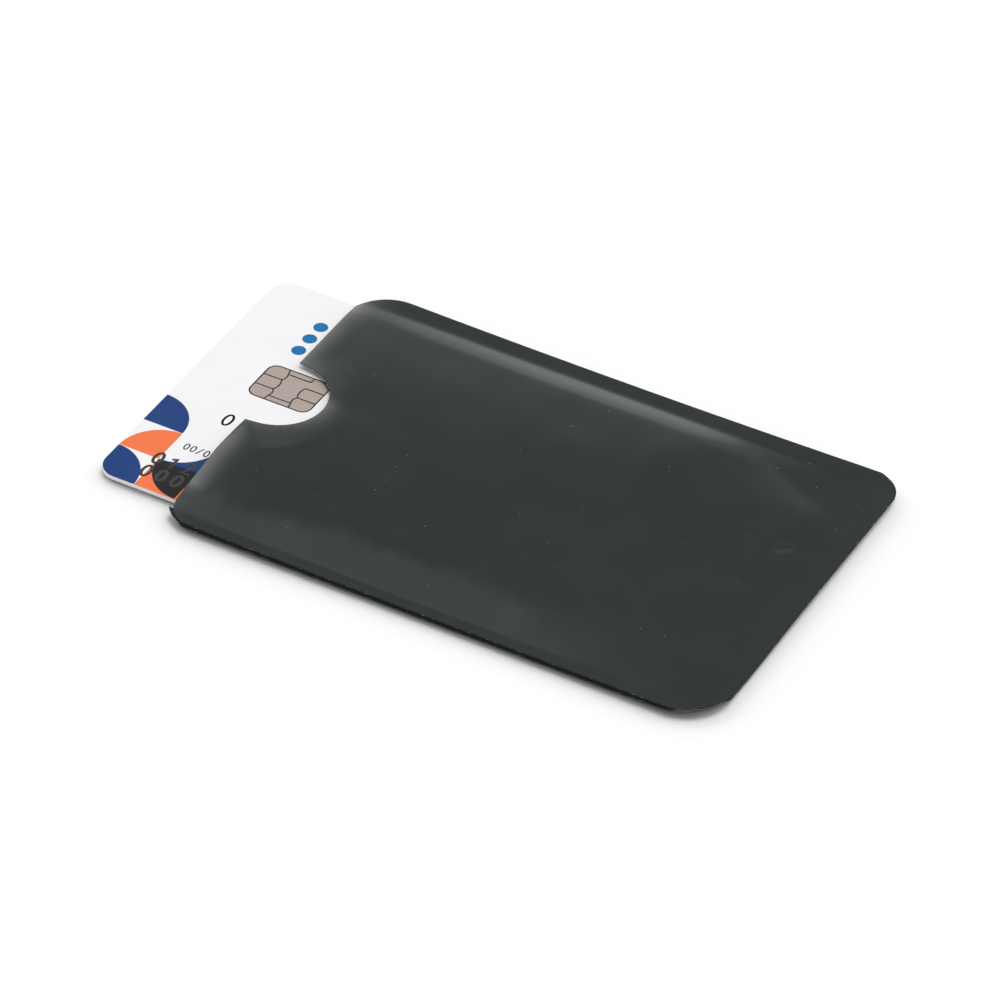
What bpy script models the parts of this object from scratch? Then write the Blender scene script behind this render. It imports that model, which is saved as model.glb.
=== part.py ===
# A flat sleeve of foil laminate that shields a chip card, with the card part way
# in. Two panels are sealed together along three sides. The fourth side is the
# mouth, where the front panel has a thumb notch.
# Lengths are in metres. The origin is the middle of the sleeve's underside. +X
# points from the mouth to the closed end, +Y to the far long side and +Z up.

import math

import bmesh
import bpy
from mathutils import Vector, geometry

MM = 0.001

# Card, in the standard identity-card size
CARD_LENGTH = 85.60 * MM
CARD_WIDTH = 53.98 * MM
CARD_CORNER_RADIUS = 3.18 * MM
CORE_THICKNESS = 0.62 * MM
OVERLAY_THICKNESS = 0.06 * MM
CARD_OUT = 13.20 * MM  # what stands out of the mouth
STRIPE_WIDTH = 12.70 * MM
STRIPE_THICKNESS = 0.02 * MM
STRIPE_FROM_SIDE = 4.50 * MM

# Chip module, let into the front of the card
MODULE_LENGTH = 10.60 * MM
MODULE_WIDTH = 8.00 * MM
MODULE_CORNER_RADIUS = 1.50 * MM
MODULE_FROM_END = 9.80 * MM  # from the card's outer end
MODULE_FROM_SIDE = 18.85 * MM  # from the card's far side
MODULE_PLAY = 0.08 * MM  # all round, in its window
CONTACT_THICKNESS = 0.04 * MM
CARRIER_THICKNESS = 0.11 * MM
ADHESIVE_THICKNESS = 0.04 * MM
RESIN_LENGTH = 5.40 * MM
RESIN_WIDTH = 4.80 * MM
RESIN_DEPTH = 0.36 * MM
RESIN_ROUNDING = 0.12 * MM
RESIN_PLAY = 0.30 * MM  # all round, in the well
RESIN_FLOOR_PLAY = 0.03 * MM
DIE_LENGTH = 2.20 * MM
DIE_WIDTH = 1.90 * MM
DIE_THICKNESS = 0.15 * MM
DIE_PLAY = 0.02 * MM
BOND_HOLE_RADIUS = 0.35 * MM
BOND_HOLE_FROM_RESIN_EDGE = 0.60 * MM

# Contact pads: the lines etched between them, from the module's centre
ETCH_WIDTH = 0.12 * MM
ROW_LINE_Y = 1.28 * MM  # between the rows of pads
STRIP_LINE_Y = 2.92 * MM  # between the centre pad and the strips
CUSP_X = 2.12 * MM  # where a row line meets the centre pad
BULGE_X = 1.78 * MM  # where a pad bulges most into the centre pad
STRIP_END_X = 2.15 * MM  # the strips' ends at the module's sides

# Laminate of one panel, from the outside in
FILM_THICKNESS = 0.08 * MM
FOIL_THICKNESS = 0.03 * MM
LINER_THICKNESS = 0.07 * MM
LAYER_GAP = 0.01 * MM  # glue line between bonded layers
SEAL_THICKNESS = 0.04 * MM

# Pocket, and the rim round it
CARD_PLAY = 0.04 * MM  # above and below the card
SIDE_PLAY = 0.20 * MM
END_PLAY = 0.20 * MM
MOUTH_MARGIN = 1.80 * MM  # how deep a card that is pushed home sits
SIDE_FLANK = 1.70 * MM  # the slope from the pocket down to the rim
END_FLANK = 1.80 * MM
SIDE_SEAL = 2.40 * MM
END_SEAL = 3.00 * MM
SEAL_CORNER_RADIUS = 1.00 * MM
SEAM_LIFT = 0.28 * MM  # of the seam above the middle of the pocket's height
RIM_CURL = 0.22 * MM  # how much higher the rim is at its corners than at its middle

# Swell of the front panel over the card, and its lip at the mouth
CROWN_HEIGHT = 0.15 * MM
CROWN_SHOULDER = 6.00 * MM
LIP_LIFT_NEAR = 0.75 * MM  # at the mouth, on the near side of the notch
LIP_LIFT_FAR = 0.35 * MM
LIP_LENGTH = 8.00 * MM
LIP_SHOULDER = 10.00 * MM

# Thumb notch
NOTCH_HALF_WIDTH = 8.20 * MM
NOTCH_DEPTH = 7.50 * MM
NOTCH_OFFSET = 2.20 * MM  # from the centre line, to the far side

# Fineness of the curved outlines and of the draped sheets
CORNER_STEPS = 8
NOTCH_STEPS = 20
PAD_ARC_STEPS = 5
HOLE_STEPS = 10
FLANK_STEPS = 4
PLAIN_STEP = 7.50 * MM
SHEET_MARGIN = 0.45 * MM  # least distance of an inner point to the outline

# Sizes that follow
PANEL_THICKNESS = FILM_THICKNESS + FOIL_THICKNESS + LINER_THICKNESS + 2 * LAYER_GAP
CARD_THICKNESS = CORE_THICKNESS + 2 * OVERLAY_THICKNESS + 2 * LAYER_GAP
POCKET_HALF_WIDTH = CARD_WIDTH / 2 + SIDE_PLAY
FOLD_Y = POCKET_HALF_WIDTH + SIDE_FLANK
HALF_WIDTH = FOLD_Y + SIDE_SEAL
SLEEVE_LENGTH = MOUTH_MARGIN + CARD_LENGTH + END_PLAY + END_FLANK + END_SEAL
END_X = SLEEVE_LENGTH / 2
MOUTH_X = -END_X
FOLD_X = END_X - END_SEAL
POCKET_END_X = FOLD_X - END_FLANK

CARD_BOTTOM_Z = PANEL_THICKNESS + CARD_PLAY + STRIPE_THICKNESS + LAYER_GAP
FRONT_BASE_Z = CARD_BOTTOM_Z + CARD_THICKNESS + CARD_PLAY
SEAM_Z = (PANEL_THICKNESS + FRONT_BASE_Z) / 2 + SEAM_LIFT
FRONT_RIM_Z = SEAM_Z + SEAL_THICKNESS / 2 + LAYER_GAP
BACK_RIM_Z = SEAM_Z - SEAL_THICKNESS / 2 - LAYER_GAP - PANEL_THICKNESS
CARD_CENTRE_X = MOUTH_X - CARD_OUT + CARD_LENGTH / 2

MODULE_X = MODULE_FROM_END + MODULE_LENGTH / 2 - CARD_LENGTH / 2
MODULE_Y = CARD_WIDTH / 2 - MODULE_FROM_SIDE - MODULE_WIDTH / 2
CARRIER_Z = CARD_THICKNESS - CONTACT_THICKNESS - LAYER_GAP - CARRIER_THICKNESS
ADHESIVE_Z = CARRIER_Z - LAYER_GAP - ADHESIVE_THICKNESS
STEP_Z = ADHESIVE_Z - LAYER_GAP
RESIN_Z = CARRIER_Z - LAYER_GAP - RESIN_DEPTH
WELL_Z = RESIN_Z - RESIN_FLOOR_PLAY


class Corner:
    """How a corner of the sleeve is cut: an arc between a point on each edge."""

    def __init__(self, along, across, radius):
        self.along = along
        self.across = across
        self.radius = radius


MOUTH_FAR = Corner(7.10 * MM, 5.00 * MM, 7.40 * MM)
MOUTH_NEAR = Corner(4.60 * MM, 5.00 * MM, 5.60 * MM)
CLOSED_FAR = Corner(4.50 * MM, 4.20 * MM, 5.00 * MM)
CLOSED_NEAR = Corner(7.00 * MM, 6.40 * MM, 7.60 * MM)


# Scene and materials


def clear_scene():
    """Remove every object that the file opened with."""
    for thing in list(bpy.data.objects):
        bpy.data.objects.remove(thing, do_unlink=True)


def new_collection(name):
    """A collection of the scene."""
    group = bpy.data.collections.new(name)
    bpy.context.scene.collection.children.link(group)
    return group


def to_linear(value):
    """A display colour value, 0 to 1, as scene-linear light."""
    if value <= 0.04045:
        return value / 12.92
    return ((value + 0.055) / 1.055) ** 2.4


def finish(name, display_colour, roughness, metallic=0.0):
    """A plain material in the piece's colour."""
    material = bpy.data.materials.new(name)
    material.use_nodes = True
    shader = material.node_tree.nodes["Principled BSDF"]
    shader.inputs["Base Color"].default_value = (*map(to_linear, display_colour), 1.0)
    shader.inputs["Roughness"].default_value = roughness
    shader.inputs["Metallic"].default_value = metallic
    return material


# Outlines, as lists of (x, y)


def arc_between(start, end, radius, toward, steps):
    """Points on the arc from start to end that bulges to the side where toward lies."""
    start, end = Vector(start), Vector(end)
    middle = (start + end) / 2
    half_chord = (end - start).length / 2
    radius = max(radius, half_chord)
    along = (end - start).normalized()
    out = Vector((along.y, -along.x))
    if out.dot(Vector(toward) - middle) < 0:
        out = -out
    centre = middle - out * math.sqrt(radius**2 - half_chord**2)
    half_angle = math.asin(half_chord / radius)
    angles = [half_angle * (2 * k / steps - 1) for k in range(steps + 1)]
    return [tuple(centre + radius * (math.cos(a) * out + math.sin(a) * along)) for a in angles]


def bulge_between(start, end, height, toward, steps):
    """The arc from start to end whose middle stands height off their chord."""
    half_chord = (Vector(end) - Vector(start)).length / 2
    radius = (half_chord**2 + height**2) / (2 * height)
    return arc_between(start, end, radius, toward, steps)


def rounded_rectangle(length, width, radius, centre=(0.0, 0.0)):
    """A rectangle with round corners, anticlockwise."""
    outline = []
    for sign_x, sign_y in ((1, -1), (1, 1), (-1, 1), (-1, -1)):
        tip = (sign_x * length / 2, sign_y * width / 2)
        on_x_side = (tip[0] - sign_x * radius, tip[1])
        on_y_side = (tip[0], tip[1] - sign_y * radius)
        ends = (on_x_side, on_y_side) if sign_x * sign_y < 0 else (on_y_side, on_x_side)
        outline += arc_between(*ends, radius, tip, CORNER_STEPS)
    return [(x + centre[0], y + centre[1]) for x, y in outline]


def circle(radius, centre, steps):
    """A circle, anticlockwise."""
    turns = [2 * math.pi * k / steps for k in range(steps)]
    return [(centre[0] + radius * math.cos(a), centre[1] + radius * math.sin(a)) for a in turns]


def with_plain_steps(outline):
    """An outline with points added where its straight edges are longer than a plain step."""
    stepped = []
    for start, end in zip(outline, outline[1:] + outline[:1]):
        start, end = Vector(start), Vector(end)
        count = math.ceil((end - start).length / PLAIN_STEP)
        stepped += [tuple(start.lerp(end, k / count)) for k in range(count)]
    return stepped


def corner_arc(corner, sign_x, sign_y):
    """The cut of one corner, anticlockwise."""
    tip = (sign_x * END_X, sign_y * HALF_WIDTH)
    on_long_side = (tip[0] - sign_x * corner.along, tip[1])
    on_end = (tip[0], tip[1] - sign_y * corner.across)
    ends = (on_end, on_long_side) if sign_x * sign_y > 0 else (on_long_side, on_end)
    return arc_between(*ends, corner.radius, tip, CORNER_STEPS)


def panel_outline(with_notch):
    """Outline of a panel, anticlockwise from the far corner of the mouth."""
    outline = corner_arc(MOUTH_FAR, -1, 1)
    if with_notch:
        far_tip = (MOUTH_X, NOTCH_OFFSET + NOTCH_HALF_WIDTH)
        near_tip = (MOUTH_X, NOTCH_OFFSET - NOTCH_HALF_WIDTH)
        outline += bulge_between(far_tip, near_tip, NOTCH_DEPTH, (0.0, 0.0), NOTCH_STEPS)
    outline += corner_arc(MOUTH_NEAR, -1, -1)
    outline += corner_arc(CLOSED_NEAR, 1, -1)
    outline += corner_arc(CLOSED_FAR, 1, 1)
    return outline


def inset(outline, distance):
    """An anticlockwise outline with every edge moved in by a distance."""
    count = len(outline)
    moved = []
    for k in range(count):
        before, here, after = (Vector(outline[(k + n) % count]) for n in (-1, 0, 1))
        first = (here - before).normalized()
        second = (after - here).normalized()
        first_in = Vector((-first.y, first.x))
        second_in = Vector((-second.y, second.x))
        moved.append(tuple(here + (first_in + second_in) * distance / (1 + first_in.dot(second_in))))
    return moved


# Pieces


def place(thing, group, parent, location, material):
    """Put a new object in its collection, under its parent, with its material."""
    group.objects.link(thing)
    thing.parent = parent
    thing.location = location
    thing.data.materials.append(material)
    return thing


def flat_plate(name, outlines, base_z, thickness, group, parent, material):
    """A flat piece cut to an outline, with further outlines as its holes."""
    curve = bpy.data.curves.new(name, "CURVE")
    curve.dimensions = "2D"
    curve.fill_mode = "BOTH"
    curve.extrude = thickness / 2
    for outline in outlines:
        spline = curve.splines.new("POLY")
        spline.points.add(len(outline) - 1)
        spline.use_cyclic_u = True
        for point, (x, y) in zip(spline.points, outline):
            point.co = (x, y, 0.0, 1.0)
    thing = bpy.data.objects.new(name, curve)
    return place(thing, group, parent, (0.0, 0.0, base_z + thickness / 2), material)


def as_mesh(plate, group, parent, material):
    """A flat plate as a welded mesh, ready to be cut or to cut."""
    name = plate.name
    bpy.context.view_layer.update()
    evaluated = plate.evaluated_get(bpy.context.evaluated_depsgraph_get())
    mesh = bpy.data.meshes.new_from_object(evaluated)
    location = plate.location.copy()
    bpy.data.objects.remove(plate, do_unlink=True)
    solid = bmesh.new()
    solid.from_mesh(mesh)
    bmesh.ops.remove_doubles(solid, verts=solid.verts, dist=0.001 * MM)
    bmesh.ops.recalc_face_normals(solid, faces=solid.faces)
    solid.to_mesh(mesh)
    solid.free()
    mesh.materials.clear()
    return place(bpy.data.objects.new(name, mesh), group, parent, location, material)


def box(name, size, centre, group, parent, material):
    """A rectangular block."""
    solid = bmesh.new()
    bmesh.ops.create_cube(solid, size=1.0)
    bmesh.ops.scale(solid, verts=solid.verts, vec=size)
    mesh = bpy.data.meshes.new(name)
    solid.to_mesh(mesh)
    solid.free()
    return place(bpy.data.objects.new(name, mesh), group, parent, centre, material)


def cut(thing, cutter):
    """Cut one object out of another, and keep the cutter out of the model."""
    modifier = thing.modifiers.new("cut_" + cutter.name, "BOOLEAN")
    modifier.operation = "DIFFERENCE"
    modifier.solver = "EXACT"
    modifier.object = cutter
    cutter.hide_render = True
    cutter.display_type = "WIRE"


# Draped panels


def smooth_step(value):
    """0 below 0 and 1 above 1, with level ends."""
    value = min(max(value, 0.0), 1.0)
    return value * value * (3.0 - 2.0 * value)


def pocket_swell(x, y):
    """How far a panel stands off the seam: 0 on the rim, 1 over the pocket."""
    return smooth_step((FOLD_Y - abs(y)) / SIDE_FLANK) * smooth_step((FOLD_X - x) / END_FLANK)


def rim_rise(x):
    """How far the rim curls up towards the sleeve's ends."""
    return RIM_CURL * (x / END_X) ** 2


def seal_height(x, y):
    """Underside of the seal, which follows the rim."""
    return SEAM_Z - SEAL_THICKNESS / 2 + rim_rise(x)


def back_height(x, y):
    """Underside of the back panel: level under the pocket and raised at the rim."""
    return (BACK_RIM_Z + rim_rise(x)) * (1.0 - pocket_swell(x, y))


def front_height(x, y):
    """Inside of the front panel: the rim, the pocket's swell, the crown and the lip."""
    swell = pocket_swell(x, y)
    crown = smooth_step((POCKET_HALF_WIDTH - abs(y)) / CROWN_SHOULDER)
    crown *= smooth_step((POCKET_END_X - x) / CROWN_SHOULDER)
    lip = smooth_step((POCKET_HALF_WIDTH - abs(y)) / LIP_SHOULDER)
    lip *= smooth_step(1.0 - (x - MOUTH_X) / LIP_LENGTH)
    far_share = smooth_step(0.5 + (y - NOTCH_OFFSET) / (2 * NOTCH_HALF_WIDTH))
    lift = LIP_LIFT_NEAR + (LIP_LIFT_FAR - LIP_LIFT_NEAR) * far_share
    rim = FRONT_RIM_Z + rim_rise(x)
    return rim + (FRONT_BASE_Z - rim) * swell + CROWN_HEIGHT * crown + lift * lip


def spread(start, end, steps):
    """Evenly spaced values from start to end, with both ends."""
    return [start + (end - start) * k / steps for k in range(steps + 1)]


def sheet_lines(with_crown):
    """Where the points of a draped sheet lie along and across the sleeve."""
    inner_y = POCKET_HALF_WIDTH
    inner_x = POCKET_END_X
    side = spread(FOLD_Y, inner_y, FLANK_STEPS)
    end = spread(FOLD_X, inner_x, FLANK_STEPS)
    outer_x = MOUTH_X + LIP_LENGTH
    mouth = spread(MOUTH_X, outer_x, FLANK_STEPS)[1:]
    if with_crown:
        inner_y -= CROWN_SHOULDER
        inner_x -= CROWN_SHOULDER
        side += spread(POCKET_HALF_WIDTH, inner_y, FLANK_STEPS)[1:]
        end += spread(POCKET_END_X, inner_x, FLANK_STEPS)[1:]
    middle_y = spread(-inner_y, inner_y, math.ceil(2 * inner_y / PLAIN_STEP))[1:-1]
    middle_x = spread(outer_x, inner_x, math.ceil((inner_x - outer_x) / PLAIN_STEP))[1:-1]
    return sorted(mouth + middle_x + end), sorted([-y for y in side] + middle_y + side)


def stands_inside(x, y, outline):
    """Whether a point lies inside an outline, with the sheet margin to spare."""
    inside = False
    point = Vector((x, y))
    for start, end in zip(outline, outline[1:] + outline[:1]):
        if (start[1] > y) != (end[1] > y):
            crossing = start[0] + (y - start[1]) * (end[0] - start[0]) / (end[1] - start[1])
            inside ^= x < crossing
        edge = Vector(end) - Vector(start)
        share = min(max((point - Vector(start)).dot(edge) / edge.length_squared, 0.0), 1.0)
        if (point - Vector(start) - share * edge).length < SHEET_MARGIN:
            return False
    return inside


def cut_sheet(outline, with_crown):
    """A flat sheet cut to an outline, as points and triangles.

    Neighbours on the sheet's lines are linked, so that the sheet folds along them.
    """
    outline = with_plain_steps(outline)
    points = list(outline)
    links = [(k, (k + 1) % len(outline)) for k in range(len(outline))]
    x_lines, y_lines = sheet_lines(with_crown)
    placed = {}
    for i, x in enumerate(x_lines):
        for j, y in enumerate(y_lines):
            if not stands_inside(x, y, outline):
                continue
            for neighbour in ((i - 1, j), (i, j - 1)):
                if neighbour not in placed:
                    continue
                other_x, other_y = points[placed[neighbour]]
                if stands_inside((x + other_x) / 2, (y + other_y) / 2, outline):
                    links.append((placed[neighbour], len(points)))
            placed[i, j] = len(points)
            points.append((x, y))
    points = [Vector(point) / MM for point in points]
    points, _, triangles, *_ = geometry.delaunay_2d_cdt(points, links, [], 1, MM)
    return [(point.x * MM, point.y * MM) for point in points], triangles


def draped_sheet(name, sheet, height, base_z, thickness, group, parent, material):
    """A layer of laminate: a flat sheet laid over a height, and given its thickness."""
    points, triangles = sheet
    solid = bmesh.new()
    corners = [solid.verts.new((x, y, height(x, y))) for x, y in points]
    for triangle in triangles:
        solid.faces.new([corners[k] for k in triangle])
    raised = bmesh.ops.extrude_face_region(solid, geom=solid.faces[:])["geom"]
    raised = [v for v in raised if isinstance(v, bmesh.types.BMVert)]
    bmesh.ops.translate(solid, verts=raised, vec=(0.0, 0.0, thickness))
    bmesh.ops.recalc_face_normals(solid, faces=solid.faces)
    mesh = bpy.data.meshes.new(name)
    solid.to_mesh(mesh)
    solid.free()
    mesh.shade_smooth()
    mesh.set_sharp_from_angle(angle=math.radians(40.0))
    return place(bpy.data.objects.new(name, mesh), group, parent, (0.0, 0.0, base_z), material)


def build_sleeve(group, cutters):
    """The two laminated panels and the seal between them."""
    sleeve = bpy.data.objects.new("sleeve", None)
    group.objects.link(sleeve)
    film = finish("film", (0.22, 0.235, 0.235), 0.22)
    foil = finish("foil", (0.84, 0.85, 0.86), 0.30, 1.0)
    liner = finish("liner", (0.88, 0.87, 0.84), 0.80)
    seal = finish("seal", (0.72, 0.72, 0.70), 0.60)

    back = cut_sheet(panel_outline(with_notch=False), with_crown=False)
    front = cut_sheet(panel_outline(with_notch=True), with_crown=True)
    back_layers = (
        ("back_outer_film", FILM_THICKNESS, film),
        ("back_foil", FOIL_THICKNESS, foil),
        ("back_liner", LINER_THICKNESS, liner),
    )
    base_z = 0.0
    for name, thickness, material in back_layers:
        draped_sheet(name, back, back_height, base_z, thickness, group, sleeve, material)
        base_z += thickness + LAYER_GAP
    front_layers = (
        ("front_liner", LINER_THICKNESS, liner),
        ("front_foil", FOIL_THICKNESS, foil),
        ("front_outer_film", FILM_THICKNESS, film),
    )
    base_z = 0.0
    for name, thickness, material in front_layers:
        draped_sheet(name, front, front_height, base_z, thickness, group, sleeve, material)
        base_z += thickness + LAYER_GAP

    strip = draped_sheet(
        "edge_seal", back, seal_height, 0.0, SEAL_THICKNESS, group, sleeve, seal
    )
    reach = SEAL_CORNER_RADIUS + SIDE_SEAL  # how far the cutter runs out of the mouth
    cutter_length = FOLD_X - MOUTH_X + reach
    cutter_outline = rounded_rectangle(
        cutter_length, 2 * FOLD_Y, SEAL_CORNER_RADIUS, (FOLD_X - cutter_length / 2, 0.0)
    )
    cutter_depth = 2 * (RIM_CURL + SEAL_THICKNESS)
    plate = flat_plate(
        "pocket_cutter", [cutter_outline], SEAM_Z - cutter_depth / 2, cutter_depth, cutters, sleeve, seal
    )
    cut(strip, as_mesh(plate, cutters, sleeve, seal))


# Card


def build_card_body(group, cutters, card):
    """The card's laminated sheets, with the window and the pocket for its chip."""
    white = finish("card_plastic", (0.95, 0.95, 0.955), 0.45)
    print_face = finish("overlay", (0.955, 0.955, 0.96), 0.25)
    black = finish("stripe", (0.10, 0.085, 0.08), 0.35)
    centre = (MODULE_X, MODULE_Y)
    face = rounded_rectangle(CARD_LENGTH, CARD_WIDTH, CARD_CORNER_RADIUS)
    window = rounded_rectangle(
        MODULE_LENGTH + 2 * MODULE_PLAY,
        MODULE_WIDTH + 2 * MODULE_PLAY,
        MODULE_CORNER_RADIUS + MODULE_PLAY,
        centre,
    )
    core_z = OVERLAY_THICKNESS + LAYER_GAP
    front_z = core_z + CORE_THICKNESS + LAYER_GAP
    flat_plate("card_back_overlay", [face], 0.0, OVERLAY_THICKNESS, group, card, print_face)
    flat_plate(
        "card_front_overlay", [face, window], front_z, OVERLAY_THICKNESS, group, card, print_face
    )
    plate = flat_plate("card_core", [face], core_z, CORE_THICKNESS, group, card, white)
    core = as_mesh(plate, group, card, white)
    plate = flat_plate(
        "step_cutter", [window], STEP_Z, CARD_THICKNESS - STEP_Z, cutters, card, white
    )
    cut(core, as_mesh(plate, cutters, card, white))
    well = rounded_rectangle(
        RESIN_LENGTH + 2 * RESIN_PLAY, RESIN_WIDTH + 2 * RESIN_PLAY, RESIN_PLAY, centre
    )
    plate = flat_plate(
        "well_cutter", [well], WELL_Z, CARD_THICKNESS - WELL_Z, cutters, card, white
    )
    cut(core, as_mesh(plate, cutters, card, white))
    stripe_y = CARD_WIDTH / 2 - STRIPE_FROM_SIDE - STRIPE_WIDTH / 2
    stripe_z = -LAYER_GAP - STRIPE_THICKNESS / 2
    box(
        "magnetic_stripe",
        (CARD_LENGTH, STRIPE_WIDTH, STRIPE_THICKNESS),
        (0.0, stripe_y, stripe_z),
        group,
        card,
        black,
    )


def build_chip(group, cutters, card):
    """The carrier tape, its adhesive ring, the die and the resin cap over it."""
    tape = finish("carrier", (0.52, 0.50, 0.33), 0.55)
    glue = finish("adhesive", (0.86, 0.80, 0.62), 0.70)
    silicon = finish("silicon", (0.36, 0.37, 0.40), 0.30)
    resin = finish("resin", (0.09, 0.09, 0.09), 0.40)
    centre = (MODULE_X, MODULE_Y)
    module = rounded_rectangle(MODULE_LENGTH, MODULE_WIDTH, MODULE_CORNER_RADIUS, centre)
    hole_x = RESIN_LENGTH / 2 - BOND_HOLE_FROM_RESIN_EDGE
    hole_y = RESIN_WIDTH / 2 - BOND_HOLE_FROM_RESIN_EDGE
    holes = [
        circle(BOND_HOLE_RADIUS, (MODULE_X + side * hole_x, MODULE_Y + row * hole_y), HOLE_STEPS)
        for side in (-1, 1)
        for row in (-1, 0, 1)
    ]
    flat_plate(
        "chip_carrier", [module] + holes, CARRIER_Z, CARRIER_THICKNESS, group, card, tape
    )
    ring_hole = rounded_rectangle(
        RESIN_LENGTH + 2 * RESIN_PLAY, RESIN_WIDTH + 2 * RESIN_PLAY, RESIN_PLAY, centre
    )
    flat_plate(
        "chip_adhesive", [module, ring_hole], ADHESIVE_Z, ADHESIVE_THICKNESS, group, card, glue
    )
    top_z = CARRIER_Z - LAYER_GAP
    box(
        "chip_die",
        (DIE_LENGTH, DIE_WIDTH, DIE_THICKNESS),
        (MODULE_X, MODULE_Y, top_z - DIE_THICKNESS / 2),
        group,
        card,
        silicon,
    )
    cap = box(
        "chip_resin",
        (RESIN_LENGTH, RESIN_WIDTH, RESIN_DEPTH),
        (MODULE_X, MODULE_Y, top_z - RESIN_DEPTH / 2),
        group,
        card,
        resin,
    )
    rounding = cap.modifiers.new("rounding", "BEVEL")
    rounding.width = RESIN_ROUNDING
    rounding.segments = 2
    rounding.harden_normals = False
    die_room = 2 * (DIE_THICKNESS + DIE_PLAY)
    cutter = box(
        "die_cutter",
        (DIE_LENGTH + 2 * DIE_PLAY, DIE_WIDTH + 2 * DIE_PLAY, die_room),
        (MODULE_X, MODULE_Y, top_z),
        cutters,
        card,
        resin,
    )
    cut(cap, cutter)


def column_edge(rows, side):
    """The edge of a column of pads against the centre pad: round bulges between cusps."""
    edge = []
    for start_y, end_y in zip(rows, rows[1:]):
        start = (side * edge_x(start_y), start_y)
        end = (side * edge_x(end_y), end_y)
        height = abs(start[0] + end[0]) / 2 - BULGE_X
        arc = bulge_between(start, end, height, (0.0, (start_y + end_y) / 2), PAD_ARC_STEPS)
        edge += arc if not edge else arc[1:]
    return edge


def edge_x(row_y):
    """How far from the middle the edge of a column meets a line between rows."""
    if abs(row_y) < STRIP_LINE_Y:
        return CUSP_X
    return (CUSP_X + BULGE_X) / 2


def pad_outlines():
    """The outlines of the contact pads, anticlockwise, before the etched lines are taken off."""
    end, side, radius = MODULE_LENGTH / 2, MODULE_WIDTH / 2, MODULE_CORNER_RADIUS
    strip_tip = (edge_x(STRIP_LINE_Y), STRIP_LINE_Y)
    corner = arc_between((end, side - radius), (end - radius, side), radius, (end, side), CORNER_STEPS)
    upper = column_edge((STRIP_LINE_Y, ROW_LINE_Y), 1)
    right_corner = [(end, ROW_LINE_Y)] + corner + [(STRIP_END_X, side)] + upper
    middle = column_edge((ROW_LINE_Y, -ROW_LINE_Y), 1)
    right_middle = [(end, -ROW_LINE_Y), (end, ROW_LINE_Y)] + middle
    strip = [(STRIP_END_X, side), (-STRIP_END_X, side), (-strip_tip[0], STRIP_LINE_Y), strip_tip]

    def mirror_x(outline):
        return [(-x, y) for x, y in reversed(outline)]

    def mirror_y(outline):
        return [(x, -y) for x, y in reversed(outline)]

    left_rows = (STRIP_LINE_Y, ROW_LINE_Y, -ROW_LINE_Y, -STRIP_LINE_Y)
    right_rows = (-STRIP_LINE_Y, -ROW_LINE_Y, ROW_LINE_Y)
    ground = column_edge(left_rows, -1) + column_edge(right_rows, 1)
    ground += [(end, ROW_LINE_Y)] + corner + [(STRIP_END_X, side), strip_tip]
    return {
        "contact_supply": mirror_x(right_corner),
        "contact_reset": mirror_x(right_middle),
        "contact_clock": mirror_y(mirror_x(right_corner)),
        "contact_ground": ground,
        "contact_program": right_middle,
        "contact_data": mirror_y(right_corner),
        "contact_strip_upper": strip,
        "contact_strip_lower": mirror_y(strip),
    }


def build_contacts(group, card):
    """The contact pads, flush with the card's face."""
    plating = finish("contact", (0.75, 0.69, 0.65), 0.30, 1.0)
    base_z = CARD_THICKNESS - CONTACT_THICKNESS
    for name, outline in pad_outlines().items():
        etched = [(x + MODULE_X, y + MODULE_Y) for x, y in inset(outline, ETCH_WIDTH / 2)]
        flat_plate(name, [etched], base_z, CONTACT_THICKNESS, group, card, plating)


def main():
    """Build the sleeve, and the card in it."""
    clear_scene()
    group = new_collection("foil_card_sleeve")
    cutters = new_collection("cutters")
    build_sleeve(group, cutters)
    card = bpy.data.objects.new("card_slide", None)
    card.location = (CARD_CENTRE_X, 0.0, CARD_BOTTOM_Z)
    group.objects.link(card)
    build_card_body(group, cutters, card)
    build_chip(group, cutters, card)
    build_contacts(group, card)


main()
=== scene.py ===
"""Looks of a foil laminate card sleeve and of the chip card that is part way in it.

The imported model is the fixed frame. The six laminate sheets get finer forms that
drape over the same pocket, the card and its chip module keep their solids, and
every piece gets a procedural finish. Sizes are in millimetres until a mesh is made.
+X points from the sleeve's mouth to its closed end, +Y to the far long side.
"""

import logging
import math
from dataclasses import dataclass, field
from enum import Enum

import bpy
import numpy as np
from mathutils import Matrix, Vector


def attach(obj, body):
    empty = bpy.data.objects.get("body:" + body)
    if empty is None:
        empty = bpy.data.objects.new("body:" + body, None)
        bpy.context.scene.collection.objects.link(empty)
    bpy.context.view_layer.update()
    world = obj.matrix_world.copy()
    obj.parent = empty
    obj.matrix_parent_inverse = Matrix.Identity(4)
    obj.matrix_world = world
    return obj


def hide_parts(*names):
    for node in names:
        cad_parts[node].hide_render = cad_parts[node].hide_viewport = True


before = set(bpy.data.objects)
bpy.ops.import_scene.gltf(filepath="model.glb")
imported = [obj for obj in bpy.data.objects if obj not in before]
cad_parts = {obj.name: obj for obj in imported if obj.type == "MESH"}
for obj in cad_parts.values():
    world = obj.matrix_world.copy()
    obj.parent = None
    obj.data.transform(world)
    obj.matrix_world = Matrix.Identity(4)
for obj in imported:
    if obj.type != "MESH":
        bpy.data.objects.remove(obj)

MM = 0.001
HALF_LENGTH = 46.20  # of the sleeve
HALF_WIDTH = 31.29
IOR = 1.5  # of every finish
SHEET_ANGLE = 40.0  # degrees, past which an edge of a sheet stays sharp
STROKE_ANGLE = 50.0  # the same for a digit's stroke
log = logging.getLogger("card_sleeve")

Colour = tuple[float, float, float]
Point = tuple[float, float]
Arrays = tuple[np.ndarray, np.ndarray]


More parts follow.
